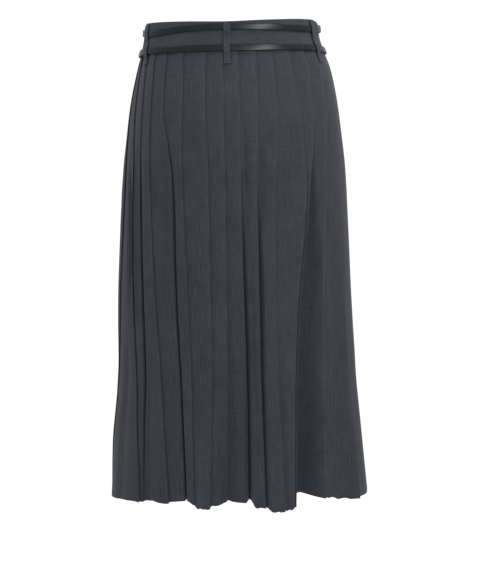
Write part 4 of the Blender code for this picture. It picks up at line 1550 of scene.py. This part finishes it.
# --- Waistband ---
@dataclass
class Waistband:
    """The plain waistband: cloth folded over a stay, in a back and a front half."""

    seam: float = WAIST_SEAM
    wall: float = 1.6 * MM
    seam_gap: float = 0.02 * MM  # between the halves at a side seam
    dent: float = 0.12 * MM  # how far the face sinks in just below the folded edge
    inside_cloth: float = 0.06  # how far on in the weave the inner layer starts
    steps: int = 150
    rows: int = 10

    def section(self, angle: float, along: float) -> tuple[list[Vector], list[float]]:
        """Return one section's points, once round, and where each lies across the cloth."""
        top = WAIST.edge(angle)
        half = self.wall / 2.0
        ring: list[tuple[float, float]] = []
        # The face, from the folded edge to the seam.
        for i in range(self.rows + 1):
            t = i / self.rows
            z = mix(top - half, self.seam + 0.5 * half, t)
            ring.append((z, -self.dent * math.sin(math.pi * min(t * 6.0, 1.0))))
        # Under at the seam.
        for degrees in (-20.0, -55.0, -90.0):
            turn = math.radians(degrees)
            z = self.seam + 0.5 * half * (1.0 + math.sin(turn))
            ring.append((z, -half * (1.0 - math.cos(turn))))
        # The inner layer, up again, and over the folded edge.
        for i in range(4):
            ring.append((mix(self.seam, top - half, i / 3.0), -self.wall))
        for degrees in (150.0, 120.0, 90.0, 60.0, 30.0):
            turn = math.radians(degrees)
            ring.append((top - half + half * math.sin(turn), -half + half * math.cos(turn)))
        points = [OUTLINE.at(z).place(angle, along, out) for z, out in ring]
        on_face = self.rows + 4
        across = [z for z, _ in ring[:on_face]] + [-z + self.inside_cloth for z, _ in ring[on_face:]]
        return points, across

    def half(self, name: str, start: float, end: float, shop: Workshop) -> Piece:
        """Make the half between two side seams."""
        rings, along = [], [0.0]
        across: list[float] = []
        for i in range(self.steps + 1):
            ends = (i == 0) - (i == self.steps)
            ring, across = self.section(mix(start, end, i / self.steps), ends * self.seam_gap / 2.0)
            if rings:
                along.append(along[-1] + (ring[0] - rings[-1][0]).length)
            rings.append(ring)
        band = tube(name, rings, shop.band_wool)
        lay_flat(band.data, along, across, crosswise=True)
        mark(band.data, "pressed", [0.0] * len(band.data.vertices))
        self.declare(band)
        return band

    def declare(self, band: Piece) -> None:
        """Work out the height of one half as it shows; nothing is kept. It is double, so its whole cut is
        twice as high.
        """
        height = WAIST.edge(0.0) - self.seam + self.wall

    def build(self, shop: Workshop) -> list[Piece]:
        """Make both halves, in place of the solids."""
        right = FOLDS[RIGHT_SEAM_FOLD].waist
        left = FOLDS[LEFT_SEAM_FOLD].waist
        made = []
        for half, start, end in (("back", left, right), ("front", right, left + FULL_TURN)):
            band = self.half("waistband_" + half + "_cloth", start, end, shop)
            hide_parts("waistband_" + half)
            made.append(band)
        return made


# --- Belt loops ---
class LoopPlace(NamedTuple):
    """Where a loop is sewn on: its angle at the top and at the foot, and its foot's height."""

    top: float
    low: float
    foot: float


class Seat(NamedTuple):
    """A place on a loop: its section of the waist, its angle and how far its middle is off the waistband."""

    section: Section
    angle: float
    out: float


@dataclass
class BeltLoops:
    """Five cloth loops that carry both belts, each edge-stitched and tacked at its foot."""

    width: float = 9.5 * MM
    wall: float = 1.0 * MM
    seam_gap: float = SEAM_GAP
    belt_width: float = BELT_WIDTH
    belt_wall: float = BELT_WALL
    belt_gap: float = BELT_GAP
    rows: int = 46
    ridge: float = 0.10 * MM  # how far the cloth stands up outside the edge stitching
    groove: float = 0.26 * MM  # how far it sinks in along the middle
    thin_edge: float = 0.35  # how much of the thickness the edges lose
    # Places and widths across the loop, for its half width.
    ridge_place: float = 0.72
    ridge_width: float = 0.16
    groove_width: float = 0.36
    seam_line: float = 0.56
    stitch: Triple = (2.1 * MM, 0.34 * MM, 0.26 * MM)
    stitch_pitch: float = 2.7 * MM
    tack_stitch: Triple = (0.36 * MM, 1.1 * MM, 0.30 * MM)
    tack_pitch: float = 0.42 * MM
    tack_height: float = 1.6 * MM  # how far the tack is above the loop's foot

    PLACES = {
        "centre_back": LoopPlace(0.0, 0.0, -0.0440),
        "back_right": LoopPlace(70.8, 71.8, -0.0412),
        "back_left": LoopPlace(-71.0, -66.5, -0.0400),
        "front_right": LoopPlace(138.0, 138.0, -0.0420),
        "front_left": LoopPlace(-138.0, -138.0, -0.0420),
    }

    def stations(self, loop: LoopPlace) -> tuple[float, list[tuple[float, float]]]:
        """Work out the loop's line over both belts.

        Args:
            loop: its place.

        Returns:
            The height of its top, and its line as heights with distances from the waistband.
        """
        middle = mix(loop.top, loop.low, 0.5)
        seated = self.seam_gap + self.wall / 2.0
        upper, lower = WAIST.height(BeltLine.UPPER, middle), WAIST.height(BeltLine.LOWER, middle)
        over = self.belt_wall + self.belt_gap + self.wall / 2.0
        over_upper = WAIST.room(BeltLine.UPPER, middle) + over
        over_lower = WAIST.room(BeltLine.LOWER, middle) + over
        half = self.belt_width / 2.0
        top = WAIST.edge(middle) - 0.2 * MM
        return top, [
            (top, mix(seated, over_upper, share(top, upper + half + 6.0 * MM, upper + half))),
            (upper + half + 1.4 * MM, mix(seated, over_upper, 0.75)),
            (upper + half - 0.4 * MM, over_upper),
            (upper - half + 0.4 * MM, over_upper),
            (mix(upper, lower, 0.5), mix(seated, over_upper, 0.35)),
            (lower + half - 0.4 * MM, over_lower),
            (lower - half + 0.4 * MM, over_lower),
            (lower - half - 4.0 * MM, mix(seated, over_lower, 0.45)),
            (loop.foot + 5.0 * MM, seated + 0.1 * MM),
            (loop.foot, seated),
        ]

    def relief(self, across: float) -> float:
        """Return how far the face stands up at a place across the loop: ridges beside a groove."""
        half = self.width / 2.0
        ridge = math.exp(-(((abs(across) - self.ridge_place * half) / (self.ridge_width * half)) ** 2))
        groove = math.exp(-((across / (self.groove_width * half)) ** 2))
        return self.ridge * ridge - self.groove * groove

    def profile(self, widths: Numbers) -> list[tuple[float, float]]:
        """Return the loop's section once round, as (across, outward) from its middle."""
        half = self.width / 2.0
        thick = [self.wall / 2.0 * (1.0 - self.thin_edge * (abs(x) / half) ** 12) for x in widths]
        face = [(x, rise + self.relief(x)) for x, rise in zip(widths, thick)]
        back = [(x, -rise) for x, rise in zip(widths, thick)]
        return [*face, *reversed(back)]

    def on_face(self, seat: Seat, across: float, above: float) -> tuple[Vector, Vector]:
        """Return a point above the loop's face, and the way that the face looks there."""
        outward = seat.out + self.wall / 2.0 + self.relief(across) + above
        away = seat.section.place(seat.angle, across, 1.0) - seat.section.place(seat.angle, across, 0.0)
        return seat.section.place(seat.angle, across, outward), away.normalized()

    def loop(self, name: str, loop: LoopPlace, shop: Workshop) -> Piece:
        """Make one loop with its stitching."""
        top, stations = self.stations(loop)
        line = Curve([z for z, _ in stations], [out for _, out in stations])
        half = self.width / 2.0
        widths = [half * i / 9.0 for i in range(-9, 10)]
        profile = self.profile(widths)
        rings, along, seats = [], [0.0], []
        for i in range(self.rows + 1):
            z = mix(top, loop.foot, i / self.rows)
            seat = Seat(OUTLINE.at(z), mix(loop.top, loop.low, share(z, top, loop.foot)), line.at(z))
            ring = [seat.section.place(seat.angle, x, seat.out + rise) for x, rise in profile]
            if rings:
                along.append(along[-1] + (ring[0] - rings[-1][0]).length)
            rings.append(ring)
            seats.append(seat)
        strip = tube(name, rings, shop.band_wool)
        across = [*widths, *(0.02 - x for x in reversed(widths))]
        # Names of different length give the loops different places in the weave.
        lay_flat(strip.data, along, across, crosswise=False, offset=0.31 + 0.05 * len(name))
        # The loop's folded edges are marked as pressed at a little under half strength, so the wool paints
        # them lighter as a painted highlight and smooths them.
        edges = [0.45 if abs(abs(x) - 0.8 * half) < 0.25 * half else 0.0 for x, _ in profile]
        mark(strip.data, "pressed", edges * len(rings))

        parts = [strip]
        for side in (-1, 1):
            run = [self.on_face(seat, side * self.seam_line * half, 0.02 * MM) for seat in seats[1:-1]]
            row = self.sewn(name + "_stitches", run, self.stitch_pitch, self.stitch, shop)
            parts.append(row)
        z = loop.foot + self.tack_height
        foot = Seat(OUTLINE.at(z), loop.low, line.at(z))
        run = [self.on_face(foot, mix(-0.8, 0.8, i / 8.0) * self.width / 2.0, 0.03 * MM) for i in range(9)]
        parts.append(self.sewn(name + "_tack", run, self.tack_pitch, self.tack_stitch, shop))
        whole = joined(name, parts)
        self.declare(whole, along[-1])
        return whole

    @staticmethod
    def sewn(
        name: str, run: Sequence[tuple[Vector, Vector]], pitch: float, size: Triple, shop: Workshop
    ) -> Piece:
        """Sew a row of stitches.

        Args:
            name: what to call it.
            run: the points that it goes through, each with the way that the cloth faces.
            pitch: from one stitch to the next.
            size: a stitch's length, width and height.
            shop: the finishes and the node trees.

        Returns:
            The stitches.
        """
        path = line_object(name, [point for point, _ in run], facing=[facing for _, facing in run])
        return shop.stitches.run(path, Pitch=pitch, Stitch_size=size, Thread=shop.thread)

    def declare(self, loop: Piece, length: float) -> None:
        """Take no step: a loop's flat size is neither worked out nor kept."""

    def build(self, shop: Workshop) -> list[Piece]:
        """Make all loops, in place of the solids."""
        made = []
        for where, place in self.PLACES.items():
            strip = self.loop("belt_loop_" + where + "_cloth", place, shop)
            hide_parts("belt_loop_" + where)
            made.append(strip)
        return made


# --- Belts ---
@dataclass
class Belt:
    """One narrow leather belt: strap, buckle, prong and keeper, fastened at the centre front."""

    line: BeltLine
    width: float = BELT_WIDTH
    wall: float = BELT_WALL
    gap: float = BELT_GAP
    seam_gap: float = SEAM_GAP
    tail: float = 0.062  # how far the tail runs on past the buckle's bar
    tip: float = 0.8  # length of its rounded end, for the belt's width
    buckle_angle: float = 180.0
    buckle_length: float = 15.0 * MM
    buckle_corner: float = 3.0 * MM
    wire: float = 1.0 * MM  # radius of the buckle's wire
    prong_wire: float = 0.7 * MM  # radius of the prong's
    prong_slot: tuple[float, float] = (3.6 * MM, 8.6 * MM)  # where the slot starts and ends, from the bar
    slot_height: float = 2.4 * MM
    keeper_width: float = 6.0 * MM
    keeper_wall: float = 1.0 * MM
    keeper_corner: float = 0.9 * MM
    keeper_place: float = 0.022  # from the bar to the keeper's middle
    hole: float = 1.7 * MM
    hole_step: float = 10.0 * MM
    first_hole: float = 9.0 * MM  # from the keeper's middle
    spare_holes: int = 3

    def piece_name(self, piece: str) -> str:
        """Return the full name of one of the belt's pieces."""
        return "belt_" + self.line.value + "_" + piece

    def degrees(self, length: float) -> float:
        """Return the angle that a length takes up along the belt at the centre front."""
        return length / OUTLINE.at(0.0).girth(self.buckle_angle, self.buckle_angle + 10.0) * 10.0

    def lap(self, angle: float) -> float:
        """Return 0 on the first lap and 1 where the tail lies on top, rising inside the buckle."""
        past = angle - (self.buckle_angle + FULL_TURN)
        return share(past, -self.degrees(self.buckle_length * 0.75), -self.degrees(self.buckle_length * 0.15))

    def at(self, angle: float, across: float = 0.0, outward: float = 0.0) -> Vector:
        """Return a point by its angle, its height across the belt and its distance from the waistband."""
        return OUTLINE.at(WAIST.height(self.line, angle) + across).place(angle, 0.0, outward)

    def room(self, angle: float) -> float:
        """Return the belt's room at an angle."""
        return WAIST.room(self.line, angle)

    def middle(self, angle: float) -> float:
        """Return how far the middle of the strap's thickness is from the waistband."""
        return self.room(angle) + self.wall / 2.0 + self.lap(angle) * (self.wall + self.gap)

    def strap(self, shop: Workshop) -> Piece:
        """Make the strap, once round from the buckle bar and on through the buckle to its tail."""
        start = self.buckle_angle + self.degrees(self.wire + self.seam_gap)
        end = self.buckle_angle + FULL_TURN + self.degrees(self.tail)
        tip = self.degrees(self.width * self.tip)
        angles = [start]
        while angles[-1] < end - 0.05:
            near_end = angles[-1] > end - tip - 0.5
            angles.append(min(angles[-1] + (0.25 if near_end else 1.0), end))
        rings, edges = [], []
        for angle in angles:
            middle = self.middle(angle)
            narrowed = math.sqrt(max(1.0 - share(angle, end - tip, end) ** 2.2, 0.0))
            width = self.width * max(narrowed, 0.22)
            profile = strip_profile(width, self.wall, 0.45 * MM, 0.22 * MM)
            rings.append([self.at(angle, across, middle + out) for across, out in profile])
            painted_from = width / 2.0 - 0.5 * MM
            edges += [1.0 if abs(across) > painted_from else 0.0 for across, _ in profile]
        strap = tube(self.piece_name("strap_leather"), rings, shop.leather)
        mark(strap.data, "edge", edges)
        marks = self.hole_marks()
        strap = shop.punch.run(strap, Marks=marks, Depth=1.0, Leather=shop.leather)
        bpy.data.objects.remove(marks, do_unlink=True)
        smooth_shade(strap)
        return strap

    def hole_marks(self) -> Piece:
        """Mark the prong's slot in the tail and the spare holes beyond the keeper."""
        slot_start, slot_end = self.prong_slot
        places = [(-(slot_start + slot_end) / 2.0, slot_end - slot_start, self.slot_height)]
        for i in range(self.spare_holes):
            places.append((self.keeper_place + self.first_hole + self.hole_step * i, self.hole, self.hole))
        points, axes, sides, sizes = [], [], [], []
        for along, length, height in places:
            angle = self.buckle_angle + FULL_TURN + self.degrees(along)
            inner = self.at(angle)
            axis = (self.at(angle, 0.0, 1.0) - inner).normalized()
            points.append(inner + axis * self.middle(angle))
            axes.append(axis)
            sides.append((self.at(angle + 0.5) - self.at(angle - 0.5)).normalized())
            sizes.append(Vector((length, height, 1.35 * self.wall)))
        return line_object(self.piece_name("hole_marks"), points, axis=axes, side=sides, size=sizes)

    def frame_angle(self, along: float) -> float:
        """Return the angle of a point on the buckle, from its bar towards its far side."""
        return self.buckle_angle - self.degrees(along)

    def frame_outward(self, along: float) -> float:
        """Return how far the buckle's wire lies from the waistband: under the tail, then over it."""
        under = self.room(self.buckle_angle) + self.wire
        over = self.room(self.buckle_angle) + self.wall + self.gap + self.wire
        return mix(under, over, share(along, 0.0, self.buckle_length))

    def buckle(self, shop: Workshop) -> Piece:
        """Make the buckle: a rounded rectangle of wire."""
        half = self.width / 2.0 + self.wire + 0.8 * MM
        corner = self.buckle_corner
        points = []
        for side_along, side_across, first in CORNERS:
            centre_along = self.buckle_length - corner if side_along > 0 else corner
            for i in range(10):
                turn = math.radians(first + 10.0 * i)
                along = centre_along + corner * math.cos(turn)
                across = side_across * (half - corner) + corner * math.sin(turn)
                points.append(self.at(self.frame_angle(along), across, self.frame_outward(along)))
        line = line_object(self.piece_name("buckle_steel"), points, closed=True)
        mark(line.data, "thick", [1.0] * len(points))
        return shop.wire.run(line, Radius=self.wire, Metal=shop.steel)

    def prong(self, shop: Workshop) -> Piece:
        """Make the prong, from beside the bar, up through the tail and onto the far side."""
        rest = self.frame_outward(self.buckle_length) + self.wire + self.seam_gap + self.prong_wire
        root = self.frame_outward(0.0)
        stations = (
            (self.wire + self.seam_gap + self.prong_wire, root),
            (self.prong_slot[0] + 0.4 * MM, root),
            (self.prong_slot[1] - 0.1 * MM, mix(root, rest, 0.64)),
            (self.buckle_length - 1.0 * MM, rest),
            (self.buckle_length + 0.5 * MM, rest),
            (self.buckle_length + 1.8 * MM, rest - 0.2 * MM),
        )
        alongs = [along for along, _ in stations]
        rise = Curve(alongs, [outward for _, outward in stations])
        points, thick = [], []
        steps = 28
        for i in range(steps + 1):
            along = mix(alongs[0], alongs[-1], i / steps)
            points.append(self.at(self.frame_angle(along), 0.0, rise.at(along)))
            # Both ends are rounded off: the root at once, the tip over three steps.
            thick.append(min(1.0, 0.25 + 0.75 * math.sqrt(min((steps - i) / 3.0, 1.0)), 0.5 + 0.25 * i))
        line = line_object(self.piece_name("prong_steel"), points)
        mark(line.data, "thick", thick)
        return shop.wire.run(line, Radius=self.prong_wire, Metal=shop.steel)

    def keeper(self, shop: Workshop) -> Piece:
        """Make the leather keeper round the strap and the tail lying on it."""
        angle = self.buckle_angle + self.degrees(self.keeper_place)
        room = self.room(angle)
        inner = room - self.seam_gap - self.keeper_wall / 2.0
        outer = room + 2.0 * self.wall + self.gap + self.seam_gap + self.keeper_wall / 2.0
        half = self.width / 2.0 + self.seam_gap + self.keeper_wall / 2.0
        corner = self.keeper_corner
        profile = strip_profile(self.keeper_width, self.keeper_wall, 0.25 * MM, 0.08 * MM)
        painted_from = self.keeper_width / 2.0 - 0.3 * MM
        rings, edges = [], []
        for side_across, side_out, first in CORNERS:
            centre_out = outer - corner if side_out > 0 else inner + corner
            for i in range(7):
                turn = math.radians(first + 15.0 * i)
                across = side_across * (half - corner) + corner * math.cos(turn)
                outward = centre_out + corner * math.sin(turn)
                ring = []
                for along, rise in profile:
                    turned = angle + self.degrees(along)
                    high, out = across + math.cos(turn) * rise, outward + math.sin(turn) * rise
                    ring.append(self.at(turned, high, out))
                    edges.append(1.0 if abs(along) > painted_from else 0.0)
                rings.append(ring)
        keeper = tube(self.piece_name("keeper_leather"), rings, shop.leather, closed=True)
        mark(keeper.data, "edge", edges)
        return keeper

    def build(self, shop: Workshop) -> list[Piece]:
        """Make the belt's four pieces, in place of the solids."""
        made = []
        for piece, node, slot in (
            (self.strap(shop), "strap", "black_leather"),
            (self.buckle(shop), "buckle", "steel"),
            (self.prong(shop), "prong", "steel"),
            (self.keeper(shop), "keeper", "black_leather"),
        ):
            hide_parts(self.piece_name(node))
            made.append(piece)
        return made


# --- Studio ---
@dataclass(frozen=True)
class Softbox:
    """A rectangular light that stands round the skirt and faces its axis."""

    name: str
    azimuth: float  # where it stands, in degrees round the skirt from its front
    height: float  # height of its middle
    away: float  # its distance from the axis
    size: tuple[float, float]  # width and height
    power: float  # in watts
    aim: float = -0.25  # the height on the axis that it faces
    lean: float = 0.0  # how far it is turned on its own axis, in degrees
    spread: float = 180.0  # how wide it shines, in degrees

    def hang(self) -> None:
        """Put the light up."""
        data = bpy.data.lights.new(self.name, "AREA")
        data.shape = "RECTANGLE"
        data.size, data.size_y = self.size
        data.spread = math.radians(self.spread)
        data.energy = self.power
        light = bpy.data.objects.new(self.name, data)
        turn = math.radians(self.azimuth)
        light.location = (math.sin(turn) * self.away, -math.cos(turn) * self.away, self.height)
        facing = (Vector((0.0, 0.0, self.aim)) - light.location).to_track_quat("-Z", "Y").to_matrix()
        light.rotation_euler = (facing @ Matrix.Rotation(math.radians(self.lean), 3, "Z")).to_euler()
        bpy.context.scene.collection.objects.link(light)


@dataclass
class Studio:
    """The camera, the lights, the white surround and the floor."""

    camera_place: Triple = (-0.202294, 2.892936, -0.1974)
    camera_target: Triple = (-0.0066, 0.0058, -0.3852)
    camera_roll: float = 1.05
    lens: float = 116.9
    floor_height: float = -1.03
    surround_below: float = 0.50  # how strongly the surround lights the skirt from below
    surround_above: float = 0.80  # and from above
    surround_seen: float = 1.05  # how bright it looks itself

    SOFTBOXES = (
        Softbox("Key softbox", 201.0, 0.75, 2.6, (0.55, 1.3), 26.0, lean=-40.0),
        Softbox("Left side softbox", 104.0, 1.5, 1.2, (0.4, 0.5), 0.24, aim=0.1, spread=30.0),
        Softbox("Right side softbox", 258.0, 1.5, 1.2, (0.4, 0.5), 0.62, aim=0.1, spread=30.0),
    )

    def camera(self) -> None:
        """Put up the camera and make it the scene's own."""
        data = bpy.data.cameras.new("Camera")
        camera = bpy.data.objects.new("Camera", data)
        bpy.context.scene.collection.objects.link(camera)
        ahead = Vector(self.camera_target) - Vector(self.camera_place)
        roll = Matrix.Rotation(-math.radians(self.camera_roll), 4, "Z")
        turn = ahead.to_track_quat("-Z", "Y").to_matrix().to_4x4() @ roll
        camera.matrix_world = Matrix.Translation(self.camera_place) @ turn
        data.lens = self.lens
        data.sensor_width = 36.0
        bpy.context.scene.camera = camera

    def surroundings(self) -> None:
        """Make the white surround, which lights the skirt less than it shows."""
        world = bpy.data.worlds.new("White surround")
        bpy.context.scene.world = world
        world.use_nodes = True
        board = NodeBoard(world.node_tree)
        seen = board.add("ShaderNodeLightPath").outputs["Is Camera Ray"]
        way = board.add("ShaderNodeTexCoord").outputs["Generated"]
        height = board.add("ShaderNodeSeparateXYZ", {0: way}).outputs[2]
        lit = board.ramp(height, -0.6, 0.6, self.surround_below, self.surround_above)
        lit = board.math("MULTIPLY", lit, board.ramp(seen, 0.0, 1.0, 1.0, 0.0))
        strength = board.total(lit, board.ramp(seen, 0.0, 1.0, 0.0, self.surround_seen))
        board.plug(world.node_tree.nodes["Background"], {0: (1.0, 1.0, 1.0, 1.0), 1: strength})

    def floor(self) -> None:
        """Lay the floor."""
        mesh = bmesh.new()
        bmesh.ops.create_circle(mesh, cap_ends=True, segments=96, radius=1.0)
        data = bpy.data.meshes.new("floor")
        mesh.to_mesh(data)
        mesh.free()
        floor = add_piece("floor", data, PaleFloor().make())
        floor.location.z = self.floor_height

    def build(self) -> None:
        """Set the studio up."""
        self.camera()
        self.surroundings()
        self.floor()
        for softbox in self.SOFTBOXES:
            softbox.hang()
        bpy.context.scene.view_settings.view_transform = "Standard"
        bpy.context.scene.view_settings.look = "None"


def write_sizes() -> None:
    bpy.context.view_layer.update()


def main() -> None:
    """Build the studio and every piece, in order."""
    logging.basicConfig(level=logging.INFO, format="%(message)s")
    Studio().build()
    shop = Workshop()
    pieces = PleatedCloth().build(shop)
    pieces += Waistband().build(shop)
    pieces += BeltLoops().build(shop)
    for line in BeltLine:
        pieces += Belt(line).build(shop)
    for piece in pieces:
        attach(piece, ROOT)
        LOG.info("%s: %d faces", piece.name, len(piece.data.polygons))
    write_sizes()


if __name__ == "__main__":
    main()
